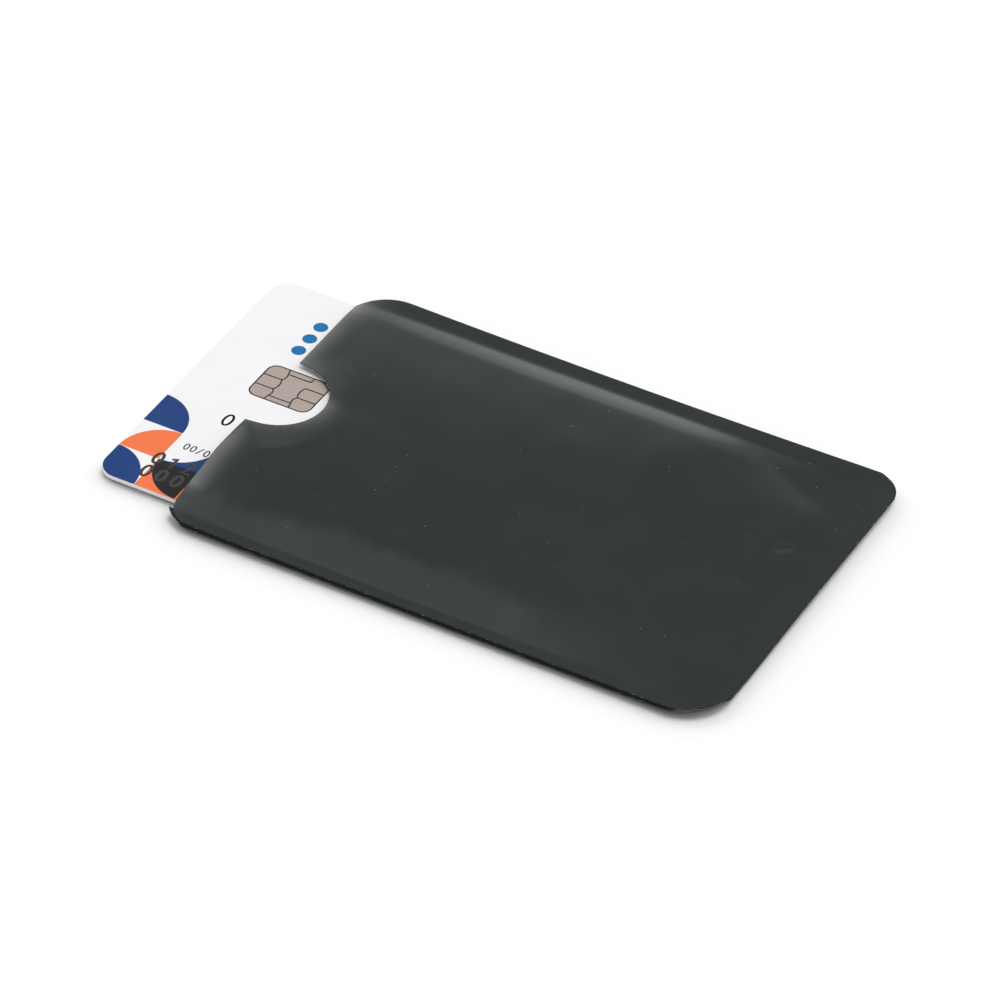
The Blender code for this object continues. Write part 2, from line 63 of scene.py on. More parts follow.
def to_linear(colour: Colour, factor: float = 1.0) -> Colour:
    """A display colour, 0 to 255 a channel, as scene-linear light.

    Args:
        colour: the display colour.
        factor: what the light is multiplied by.

    Returns:
        The colour as linear values, 0 to 1.
    """
    share = np.asarray(colour, dtype=float) / 255.0
    linear = np.where(share <= 0.04045, share / 12.92, ((share + 0.055) / 1.055) ** 2.4)
    return tuple(float(value) * factor for value in linear)


def smooth_step(value: np.ndarray) -> np.ndarray:
    """0 below 0 and 1 above 1, by 3 v squared less 2 v cubed between."""
    value = np.clip(value, 0.0, 1.0)
    return value * value * (3.0 - 2.0 * value)


def eased(value: np.ndarray, span: Point) -> np.ndarray:
    """0 to 1 over a span of a start and a length, which runs down if it is negative."""
    return smooth_step((value - span[0]) / span[1])


def soft_shoulder(inward: np.ndarray, reach: float, crease: float) -> np.ndarray:
    """The rise of a sheet from a crease to a plateau.

    The rise is 1 - (1 - s)^2, where s goes from 0 at the crease to 1 at the reach. The
    crease itself is rounded: s is eased in over a short length with a smooth maximum.

    Args:
        inward: distance from the crease, positive towards the plateau.
        reach: distance at which the plateau is level.
        crease: length over which the crease is rounded.

    Returns:
        The share of the rise, 0 to 1.
    """
    eased = 0.5 * (inward + np.sqrt(inward * inward + crease * crease))
    eased = eased - 0.5 * crease * crease / (np.abs(inward) + reach)
    share = np.clip(eased / reach, 0.0, 1.0)
    return 1.0 - (1.0 - share) ** 2


def spaced(stops: list[Point]) -> np.ndarray:
    """Values that run through stops, each stretch in equal steps.

    Args:
        stops: pairs of a value and the step that leads from it to the next one.

    Returns:
        The values in order, without repeats.
    """
    parts = []
    for (start, step), (end, _) in zip(stops, stops[1:]):
        count = max(1, math.ceil(abs(end - start) / step))
        parts.append(np.linspace(start, end, count, endpoint=False))
    parts.append(np.array([stops[-1][0]]))
    return np.concatenate(parts)


def mesh_from_arrays(name: str, points: np.ndarray, faces: np.ndarray) -> bpy.types.Object:
    """Put whole arrays of points and faces into a new mesh object.

    Args:
        name: the object's name.
        points: n by 3 array in millimetres.
        faces: m by 4 array of point numbers, anticlockwise from outside.

    Returns:
        The object, linked to the scene.
    """
    mesh = bpy.data.meshes.new(name)
    count, sides = faces.shape
    mesh.vertices.add(len(points))
    mesh.vertices.foreach_set("co", (points * MM).astype(np.float32).ravel())
    mesh.loops.add(count * sides)
    mesh.loops.foreach_set("vertex_index", faces.astype(np.int32).ravel())
    mesh.polygons.add(count)
    starts = np.arange(0, count * sides, sides, dtype=np.int32)
    mesh.polygons.foreach_set("loop_start", starts)
    mesh.update(calc_edges=True)
    mesh.validate()
    thing = bpy.data.objects.new(name, mesh)
    bpy.context.scene.collection.objects.link(thing)
    log.info("%s: %d points", name, len(points))
    return thing


def joined_mesh(name: str, pieces: list[Arrays]) -> bpy.types.Object:
    """Put several sets of points and faces into one mesh object.

    Args:
        name: the object's name.
        pieces: pairs of points and faces, each numbered from 0.

    Returns:
        The object, linked to the scene.
    """
    firsts = np.cumsum([0] + [len(points) for points, _ in pieces])
    faces = [some + first for (_, some), first in zip(pieces, firsts)]
    points = np.concatenate([some for some, _ in pieces])
    return mesh_from_arrays(name, points, np.concatenate(faces))


def grid_cells(number: np.ndarray) -> np.ndarray:
    """The cells of a grid of point numbers, as faces that turn anticlockwise."""
    corners = (number[:-1, :-1], number[:-1, 1:], number[1:, 1:], number[1:, :-1])
    return np.stack([corner.ravel() for corner in corners], axis=1)


def shade(thing: bpy.types.Object, sharp_degrees: float) -> None:
    """Shade smooth, with edges sharper than an angle kept sharp."""
    thing.data.shade_smooth()
    thing.data.set_sharp_from_angle(angle=math.radians(sharp_degrees))


def dress(thing: bpy.types.Object, material: bpy.types.Material) -> None:
    """Give a piece its one material."""
    thing.data.materials.clear()
    thing.data.materials.append(material)


def mark_points(thing: bpy.types.Object, name: str, values: np.ndarray) -> None:
    """Store a value for each point, for a material to read by its name."""
    layer = thing.data.attributes.new(name, "FLOAT", "POINT")
    layer.data.foreach_set("value", values.astype(np.float32))


def closed_sheet(
    name: str, lower: np.ndarray, upper: np.ndarray, from_mouth: np.ndarray
) -> bpy.types.Object:
    """A sheet of some thickness from two grids of points.

    Args:
        name: the object's name.
        lower: rows by columns by 3 array, the underside. Rows run along +Y and
            columns along +X.
        upper: array of the same shape, the upper side.
        from_mouth: rows by columns array, how far each point is from the mouth's edge.

    Returns:
        The closed object: both sides, joined by a wall round the border.
    """
    count = from_mouth.size
    number = np.arange(count).reshape(from_mouth.shape)
    cells = grid_cells(number)
    border = np.concatenate(
        [number[0, :-1], number[:-1, -1], number[-1, :0:-1], number[:0:-1, 0]]
    )
    ahead = np.roll(border, -1)
    wall = np.stack([border, ahead, ahead + count, border + count], axis=1)
    points = np.concatenate([lower.reshape(-1, 3), upper.reshape(-1, 3)])
    thing = mesh_from_arrays(name, points, np.concatenate([cells + count, cells[:, ::-1], wall]))
    shade(thing, SHEET_ANGLE)
    on_wall = np.zeros(2 * count)
    on_wall[border] = on_wall[border + count] = 1.0
    mark_points(thing, "cut_edge", on_wall)
    mark_points(thing, "from_mouth", np.tile(from_mouth.ravel(), 2))
    return thing


@dataclass(frozen=True)
class Signal:
    """A node's output, on which plain arithmetic signs make Math nodes."""

    desk: "NodeDesk"
    socket: bpy.types.NodeSocket

    def __add__(self, other: object) -> "Signal":
        """The sum with a signal or a number."""
        return self.desk.calc("ADD", self, other)

    def __sub__(self, other: object) -> "Signal":
        """This less a signal or a number."""
        return self.desk.calc("SUBTRACT", self, other)

    def __rsub__(self, other: float) -> "Signal":
        """A number less this."""
        return self.desk.calc("SUBTRACT", other, self)

    def __mul__(self, other: object) -> "Signal":
        """The product with a signal or a number."""
        return self.desk.calc("MULTIPLY", self, other)

    def __truediv__(self, other: object) -> "Signal":
        """This over a signal or a number."""
        return self.desk.calc("DIVIDE", self, other)

    def __abs__(self) -> "Signal":
        """This without its sign."""
        return self.desk.calc("ABSOLUTE", self)


@dataclass(frozen=True)
class NodeDesk:
    """A material's, world's or group's nodes, added one call at a time."""

    tree: bpy.types.NodeTree

    def add(self, kind: str, **values: object) -> bpy.types.Node:
        """A node of some kind, with its properties set.

        Args:
            kind: the node's type.
            **values: its properties.

        Returns:
            The node.
        """
        node = self.tree.nodes.new(kind)
        for key, value in values.items():
            setattr(node, key, value)
        return node

    def feed(self, socket: bpy.types.NodeSocket, value: object) -> None:
        """Link a signal to a socket, or set the socket to a plain value.

        Args:
            socket: the input to feed.
            value: a signal, a number or a tuple.
        """
        if isinstance(value, Signal):
            self.tree.links.new(value.socket, socket)
            return
        if isinstance(value, tuple) and socket.type == "RGBA":
            value = (*value, 1.0)
        socket.default_value = value

    def feed_all(self, sockets: object, values: tuple) -> None:
        """Feed the first of some sockets, in order."""
        for socket, value in zip(sockets, values):
            self.feed(socket, value)

    def shader_to(self, name: str, value: object) -> None:
        """Feed an input of the material's own shader."""
        self.feed(self.tree.nodes["Principled BSDF"].inputs[name], value)

    def read(self, kind: str, output: str, **values: object) -> Signal:
        """An output of a new node that takes no input."""
        return Signal(self, self.add(kind, **values).outputs[output])

    def calc(self, operation: str, *values: object, clamp: bool = False) -> Signal:
        """The result of a Math node.

        Args:
            operation: the node's operation.
            *values: its inputs, signals or numbers.
            clamp: whether the result is held between 0 and 1.

        Returns:
            The result.
        """
        node = self.add("ShaderNodeMath", operation=operation, use_clamp=clamp)
        self.feed_all(node.inputs, values)
        return Signal(self, node.outputs[0])

    def length(self, x: Signal, y: Signal) -> Signal:
        """The length of a flat vector, as the root of its squares' sum."""
        return self.calc("SQRT", x * x + y * y)

    def most(self, first: Signal, second: object) -> Signal:
        """The greater of two values."""
        return self.calc("MAXIMUM", first, second)

    def left_of(self, value: Signal, whole: object) -> Signal:
        """1 less the value's share of a whole, held between 0 and 1."""
        return self.calc("SUBTRACT", 1.0, value / whole, clamp=True)

    def mix(self, share: object, first: object, second: object) -> Signal:
        """A colour between two colours.

        Args:
            share: how much of the second.
            first: the colour where the share is 0.
            second: the colour where the share is 1.

        Returns:
            The mixed colour.
        """
        node = self.add("ShaderNodeMix", data_type="RGBA")
        for index, value in ((0, share), (6, first), (7, second)):
            self.feed(node.inputs[index], value)
        return Signal(self, node.outputs[2])

    def ramp(self, value: Signal, low: object, high: object, out: Point = (0.0, 1.0)) -> Signal:
        """A value eased from one range to another, and held at its ends.

        Args:
            value: the input.
            low: the input at which the result is the first of the out pair.
            high: the input at which the result is the second of the out pair.
            out: the results at both ends.

        Returns:
            The result.
        """
        node = self.add("ShaderNodeMapRange", interpolation_type="SMOOTHSTEP")
        self.feed_all(node.inputs, (value, low, high, *out))
        return Signal(self, node.outputs[0])

    def scaled(self, vector: Signal, x: float, y: float, z: float) -> Signal:
        """A vector that is scaled along each axis.

        Args:
            vector: the vector.
            x: factor along X.
            y: factor along Y.
            z: factor along Z.

        Returns:
            The scaled vector.
        """
        node = self.add("ShaderNodeMapping")
        self.feed(node.inputs["Vector"], vector)
        node.inputs["Scale"].default_value = (x, y, z)
        return Signal(self, node.outputs[0])

    def place(self) -> Signal:
        """The place on the piece, in millimetres of the shared frame."""
        return self.scaled(self.read("ShaderNodeTexCoord", "Object"), 1 / MM, 1 / MM, 1 / MM)

    def cut_edge(self) -> Signal:
        """1 on the wall round a sheet's border, and 0 on its two sides."""
        marked = self.read("ShaderNodeAttribute", "Fac", attribute_name="cut_edge")
        return self.ramp(marked, 0.88, 0.96)

    def parts(self, vector: Signal) -> tuple[Signal, ...]:
        """The x, y and z of a vector.

        Args:
            vector: the vector.

        Returns:
            Its three signals.
        """
        node = self.add("ShaderNodeSeparateXYZ")
        self.feed(node.inputs[0], vector)
        return tuple(Signal(self, output) for output in node.outputs)

    def noise(
        self, vector: Signal, scale: object, detail: float = 2.0, roughness: float = 0.5
    ) -> Signal:
        """Soft noise of about 0 to 1.

        Args:
            vector: where to read it.
            scale: how many features there are to a unit of the vector.
            detail: octaves.
            roughness: strength of the finer octaves.

        Returns:
            The noise.
        """
        node = self.add("ShaderNodeTexNoise")
        names = ("Vector", "Scale", "Detail", "Roughness")
        self.feed_all([node.inputs[name] for name in names], (vector, scale, detail, roughness))
        return Signal(self, node.outputs["Fac"])

    def bump(self, height: Signal, depth: float, before: Signal | None = None) -> Signal:
        """A normal from a height.

        Args:
            height: the height, 0 to 1.
            depth: how many millimetres a height of 1 stands for.
            before: a normal to start from, if any.

        Returns:
            The normal.
        """
        node = self.add("ShaderNodeBump")
        node.inputs["Strength"].default_value = 1.0
        node.inputs["Distance"].default_value = depth * MM
        self.feed(node.inputs["Height"], height)
        if before is not None:
            self.feed(node.inputs["Normal"], before)
        return Signal(self, node.outputs[0])


class Effect(Enum):
    """The shader groups that more than one finish uses."""

    GRAIN = "fine_grain"
    RIBS = "seal_ribs"
    BRUSHED = "brushed_lines"
    FUSED_AND_SHADED = "fused_and_shaded_edge"


@dataclass
class EffectShelf:
    """Makes each shader group once and places it in materials."""

    rib_sway: float = 0.9
    scratches: Point = (0.62, 0.75)
    corner_inset: float = 8.0
    corner_radius: float = 8.6
    edge_full: float = 0.6
    breaks: Point = (0.55, 0.62)
    made: dict = field(default_factory=dict)

    def open_group(self, effect: Effect, inputs: dict[str, float], outputs: list[str]) -> tuple:
        """A new group with its sockets.

        Args:
            effect: which effect it is.
            inputs: the name and first value of each number that it takes, after the place.
            outputs: the name of each mask that it gives.

        Returns:
            The desk, the signals that it takes by name, and the sockets that it gives to.
        """
        tree = bpy.data.node_groups.new(effect.value, "ShaderNodeTree")
        tree.interface.new_socket("Place", in_out="INPUT", socket_type="NodeSocketVector")
        for name, value in inputs.items():
            socket = tree.interface.new_socket(
                name, in_out="INPUT", socket_type="NodeSocketFloat"
            )
            socket.default_value = value
        for name in outputs:
            tree.interface.new_socket(name, in_out="OUTPUT", socket_type="NodeSocketFloat")
        desk = NodeDesk(tree)
        taken = desk.add("NodeGroupInput").outputs
        signals = {name: Signal(desk, taken[name]) for name in ("Place", *inputs)}
        return desk, signals, desk.add("NodeGroupOutput").inputs

    def make_grain(self) -> bpy.types.NodeTree:
        """Fine even grain, and slow cloudiness under it.

        Returns:
            The group.
        """
        inputs = {"Fine": 3.0, "Cloud": 0.12}
        desk, taken, given = self.open_group(Effect.GRAIN, inputs, ["Grain", "Clouds"])
        for name, scale, detail in (("Grain", "Fine", 3.0), ("Clouds", "Cloud", 2.0)):
            desk.feed(given[name], desk.noise(taken["Place"], taken[scale], detail))
        return desk.tree

    def make_ribs(self) -> bpy.types.NodeTree:
        """Short pressed ribs square to each sealed edge, which fade out inwards.

        A rib is a sine along the edge, times how much is left of a ragged reach.

        Returns:
            The group.
        """
        inputs = {"Pitch": 0.36, "Reach": 5.0, "End reach": 7.5}
        desk, taken, given = self.open_group(Effect.RIBS, inputs, ["Ribs", "Zone"])
        x, y, _ = desk.parts(taken["Place"])
        wander = desk.noise(desk.scaled(taken["Place"], 0.35, 0.35, 0.35), 1.0)
        sway = wander * self.rib_sway - self.rib_sway / 2
        ragged = desk.noise(desk.scaled(taken["Place"], 1.6, 1.6, 1.0), 1.0, 3.0)
        side_zone = desk.left_of(HALF_WIDTH - abs(y), taken["Reach"] * (ragged + 0.3))
        end_zone = desk.left_of(HALF_LENGTH - x, taken["End reach"] * (ragged + 0.3))
        waves = []
        for along, zone in ((x, side_zone), (y, end_zone)):
            turns = (along + sway) / taken["Pitch"]
            lifted = desk.calc("SINE", turns * (2.0 * math.pi)) * 0.5 + 0.5
            waves.append(lifted * zone * ragged)
        desk.feed(given["Ribs"], waves[0] + waves[1])
        desk.feed(given["Zone"], desk.most(side_zone, end_zone))
        return desk.tree

    def make_brushed(self) -> bpy.types.NodeTree:
        """Long fine lines along X, with some deeper ones among them.

        Returns:
            The group.
        """
        inputs = {"Fine": 9.0, "Stretch": 0.04}
        desk, taken, given = self.open_group(Effect.BRUSHED, inputs, ["Lines", "Scratches"])
        x, y, z = desk.parts(taken["Place"])
        drawn = desk.add("ShaderNodeCombineXYZ")
        desk.feed_all(drawn.inputs, (x * taken["Stretch"], y, z))
        place = Signal(desk, drawn.outputs[0])
        desk.feed(given["Lines"], desk.noise(place, taken["Fine"] * 1.0, 4.0))
        deeper = desk.noise(place, taken["Fine"] * 2.6, 1.0)
        desk.feed(given["Scratches"], desk.ramp(deeper, *self.scratches))
        return desk.tree

    def make_fused_and_shaded(self) -> bpy.types.NodeTree:
        """A band along the three sealed sides: on the foil, film melted over its hot-cut edge; on
        the liner and the seal, painted shade of the gap between the panels.

        The distance from the edge is the least of those from the side, the end and a
        rounded corner. It is full at a share of the depth and gone at the depth.

        Returns:
            The group.
        """
        desk, taken, given = self.open_group(Effect.FUSED_AND_SHADED, {"Depth": 0.35}, ["Fused", "Breaks"])
        x, y, _ = desk.parts(taken["Place"])
        side, end = HALF_WIDTH - abs(y), HALF_LENGTH - x
        corner_x = desk.most(self.corner_inset - end, 0.0)
        corner_y = desk.most(self.corner_inset - side, 0.0)
        corner = self.corner_radius - desk.length(corner_x, corner_y)
        nearest = desk.calc("MINIMUM", desk.calc("MINIMUM", side, end), corner)
        fused_and_shade = desk.ramp(nearest, taken["Depth"], taken["Depth"] * self.edge_full)
        beats = desk.noise(desk.scaled(taken["Place"], 0.9, 0.9, 0.0), 1.0, 3.0, 0.7)
        desk.feed(given["Fused"], fused_and_shade)
        desk.feed(given["Breaks"], desk.ramp(beats, *self.breaks))
        return desk.tree

    def put(self, desk: NodeDesk, effect: Effect, place: Signal, **values: float) -> dict:
        """Place an effect in a material.

        Args:
            desk: the material's desk.
            effect: which effect.
            place: where to read it.
            **values: its inputs.

        Returns:
            The effect's signals by name.
        """
        makers = {
            Effect.GRAIN: self.make_grain,
            Effect.RIBS: self.make_ribs,
            Effect.BRUSHED: self.make_brushed,
            Effect.FUSED_AND_SHADED: self.make_fused_and_shaded,
        }
        if effect not in self.made:
            self.made[effect] = makers[effect]()
        node = desk.add("ShaderNodeGroup", node_tree=self.made[effect])
        for name, value in {"Place": place, **values}.items():
            desk.feed(node.inputs[name], value)
        return {output.name: Signal(desk, output) for output in node.outputs}


SHELF = EffectShelf()


@dataclass(frozen=True)
class Finish:
    """What every finish has: its name, the record's slot, and plain values."""

    name: str
    slot: str
    roughness: float = 0.5
    metallic: float = 0.0
    specular: float = 0.5
    coat: float = 0.0
    coat_roughness: float = 0.05

    def make(self) -> bpy.types.Material:
        """Make the material: plain values on the shader's own sockets, then the paint.

        Returns:
            The material.
        """
        material = bpy.data.materials.new(self.name)
        material.use_nodes = True
        desk = NodeDesk(material.node_tree)
        plain = {
            "Roughness": self.roughness,
            "Metallic": self.metallic,
            "IOR": IOR,
            "Specular IOR Level": self.specular,
            "Coat Weight": self.coat,
            "Coat Roughness": self.coat_roughness,
        }
        for name, value in plain.items():
            desk.shader_to(name, value)
        self.paint(desk, desk.place())
        return material

    def paint(self, desk: NodeDesk, place: Signal) -> None:
        """Paint what changes over the surface, in the way of each kind of finish.

        Args:
            desk: the material's desk.
            place: the place on the piece, in millimetres.
        """
        raise NotImplementedError


@dataclass(frozen=True)
class OuterFilm(Finish):
    """Dark glossy film: sealed ribs at the rim, a painted highlight at the mouth, and a few light
    specks.
    """

    colour: Colour = (41.0, 46.0, 47.0)
    # Colour of the cut wall, darker than the film: painted shade.
    edge_colour: Colour = (24.0, 27.0, 28.0)
    rib_colour: Colour = (82.0, 86.0, 88.0)
    speck_colour: Colour = (190.0, 192.0, 192.0)
    speck_cell: float = 3.5
    speck_size: float = 0.10
    speck_share: float = 0.12
    # The next five values set the painted highlight along the mouth, which stands in for light on
    # the lifted lip.
    mouth_highlight: float = 0.15
    highlight_reach: float = 1.6
    highlight_side: Point = (-9.0, 8.0)
    near_highlight: float = 0.25
    streaks: Point = (0.7, 0.65)
    cloud_range: Point = (0.35, 0.7)
    lighter: float = 1.12
    rib_share: float = 0.20
    rough_clouds: float = 0.10
    rough_ribs: float = 0.08
    rib_depth: float = 0.010
    grain_depth: float = 0.0012
    speck_depth: float = 0.02

    def specks(self, desk: NodeDesk, place: Signal) -> Signal:
        """Sparse small specks: the cores of a few cells of a Voronoi pattern.

        Args:
            desk: the material's desk.
            place: the place on the piece.

        Returns:
            Up to 1 on a speck and 0 away from it.
        """
        spread = desk.add("ShaderNodeVectorMath", operation="SCALE")
        desk.feed(spread.inputs[0], place)
        spread.inputs["Scale"].default_value = 1.0 / self.speck_cell
        cells = desk.add("ShaderNodeTexVoronoi", voronoi_dimensions="2D")
        desk.feed(cells.inputs["Vector"], Signal(desk, spread.outputs[0]))
        cells.inputs["Scale"].default_value = 1.0
        away = Signal(desk, cells.outputs["Distance"]) * self.speck_cell
        luck, size, _ = desk.parts(Signal(desk, cells.outputs["Color"]))
        picked = desk.calc("LESS_THAN", luck, self.speck_share)
        return desk.left_of(away, self.speck_size) * picked * size

    def paint(self, desk: NodeDesk, place: Signal) -> None:
        """Paint the film.

        The painted highlight at the mouth, which stands in for light on the lifted lip, falls off
        as a power of e with the distance from its edge, and is weaker on the near side.

        Args:
            desk: the material's desk.
            place: the place on the piece, in millimetres.
        """
        grain = SHELF.put(desk, Effect.GRAIN, place, Fine=2.2, Cloud=0.10)
        ribs = SHELF.put(desk, Effect.RIBS, place)
        specks = self.specks(desk, place)
        clouds = desk.ramp(grain["Clouds"], *self.cloud_range)
        cloudy = desk.mix(clouds, to_linear(self.colour), to_linear(self.colour, self.lighter))
        worn = desk.mix(ribs["Ribs"] * self.rib_share, cloudy, to_linear(self.rib_colour))
        colour = desk.mix(specks, worn, to_linear(self.speck_colour))
        # Painted highlight: a lighter colour along the mouth and the notch, fading with the
        # distance from the edge.
        away = desk.read("ShaderNodeAttribute", "Fac", attribute_name="from_mouth")
        highlight_fading = desk.calc("EXPONENT", away * (-1.0 / self.highlight_reach))
        streaky = grain["Clouds"] * self.streaks[0] + self.streaks[1]
        highlights = (self.near_highlight * self.mouth_highlight, self.mouth_highlight)
        mouth_highlight = desk.ramp(desk.parts(place)[1], *self.highlight_side, highlights)
        colour = desk.mix(highlight_fading * streaky * mouth_highlight, colour, (1.0, 1.0, 1.0))
        # Painted shade: the cut wall gets the darker colour and no coat.
        wall = desk.cut_edge()
        desk.shader_to("Base Color", desk.mix(wall, colour, to_linear(self.edge_colour)))
        desk.shader_to("Coat Weight", (1.0 - wall) * self.coat)
        rough = self.roughness - self.rough_clouds / 2
        rough = grain["Clouds"] * self.rough_clouds + rough
        desk.shader_to("Roughness", ribs["Zone"] * self.rough_ribs + rough)
        pressed = desk.bump(ribs["Ribs"], self.rib_depth)
        peeled = desk.bump(grain["Grain"], self.grain_depth, pressed)
        desk.shader_to("Normal", desk.bump(specks, self.speck_depth, peeled))


@dataclass(frozen=True)
class RolledFoil(Finish):
    """Aluminium foil, with the lines of the rolls."""

    colour: Colour = (226.0, 228.0, 231.0)
    edge_colour: Colour = (34.0, 38.0, 39.0)

    def paint(self, desk: NodeDesk, place: Signal) -> None:
        """Paint the foil, which melted film covers at the sealed edges but for breaks.

        Args:
            desk: the material's desk.
            place: the place on the piece, in millimetres.
        """
        lines = SHELF.put(desk, Effect.BRUSHED, place, Fine=6.0, Stretch=0.02)
        fused_and_shade = SHELF.put(desk, Effect.FUSED_AND_SHADED, place, Depth=0.30)
        colour = desk.mix(lines["Lines"], to_linear(self.colour, 0.8), to_linear(self.colour))
        covered = fused_and_shade["Fused"] * (1.0 - fused_and_shade["Breaks"])
        desk.shader_to("Base Color", desk.mix(covered, colour, to_linear(self.edge_colour)))
        desk.shader_to("Metallic", 1.0 - covered)
        desk.shader_to("Normal", desk.bump(lines["Lines"], 0.002))


@dataclass(frozen=True)
class LinerPaper(Finish):
    """Coated paper with short fibres, and painted shade in a wide band along the sealed edges."""

    colour: Colour = (228.0, 226.0, 219.0)
    edge_colour: Colour = (38.0, 41.0, 42.0)

    def paint(self, desk: NodeDesk, place: Signal) -> None:
        """Paint the liner.

        Args:
            desk: the material's desk.
            place: the place on the piece, in millimetres.
        """
        grain = SHELF.put(desk, Effect.GRAIN, place, Fine=4.0, Cloud=0.4)
        # Painted shade: the liner is dark along the sealed edges, where it lies in the gap between
        # the panels.
        fused_and_shade = SHELF.put(desk, Effect.FUSED_AND_SHADED, place, Depth=2.2)["Fused"]
        paper = desk.mix(grain["Clouds"], to_linear(self.colour, 0.86), to_linear(self.colour))
        desk.shader_to("Base Color", desk.mix(fused_and_shade, paper, to_linear(self.edge_colour)))
        desk.shader_to("Normal", desk.bump(grain["Grain"], 0.01))


@dataclass(frozen=True)
class HeatSeal(Finish):
    """Milky sealing layer with the knurl of the sealing bar, and painted shade near its cut edges
    and at the mouth end.
    """

    colour: Colour = (196.0, 196.0, 190.0)
    rib_colour: Colour = (150.0, 151.0, 148.0)
    edge_colour: Colour = (38.0, 42.0, 43.0)
    mouth_ends: Point = (-42.6, -43.2)

    def paint(self, desk: NodeDesk, place: Signal) -> None:
        """Paint the seal.

        Args:
            desk: the material's desk.
            place: the place on the piece, in millimetres.
        """
        ribs = SHELF.put(desk, Effect.RIBS, place)["Ribs"]
        fused_and_shade = SHELF.put(desk, Effect.FUSED_AND_SHADED, place, Depth=2.2)["Fused"]
        milky = desk.mix(ribs, to_linear(self.colour), to_linear(self.rib_colour))
        # Painted shade: dark along the sealed edges and at the mouth end, where the seal shows past
        # the films.
        dark = desk.most(fused_and_shade, desk.ramp(desk.parts(place)[0], *self.mouth_ends))
        desk.shader_to("Base Color", desk.mix(dark, milky, to_linear(self.edge_colour)))
        desk.shader_to("Normal", desk.bump(ribs, 0.01))


@dataclass(frozen=True)
class CutCorner:
    """How a corner of a panel is cut: an arc from a point on each edge."""

    along: float
    across: float
    radius: float

    def reach(self, inward: np.ndarray) -> np.ndarray:
        """How far the cut goes into a row.

        The arc runs from (along, 0) to (0, across), measured from the tip, on a circle
        of the radius that bulges towards the tip. The reach at a row is the circle's
        centre less the half chord there, and 0 past the arc.

        Args:
            inward: how far each row lies in from the long side.

        Returns:
            The reach of each row.
        """
        chord = math.hypot(self.along, self.across)
        depth = math.sqrt(self.radius**2 - (chord / 2) ** 2)
        centre_x = self.along / 2 + depth * self.across / chord
        centre_y = self.across / 2 + depth * self.along / chord
        half = np.sqrt(np.maximum(self.radius**2 - (inward - centre_y) ** 2, 0.0))
        reach = np.minimum(np.maximum(centre_x - half, 0.0), self.along)
        return np.where(inward < self.across, reach, 0.0)


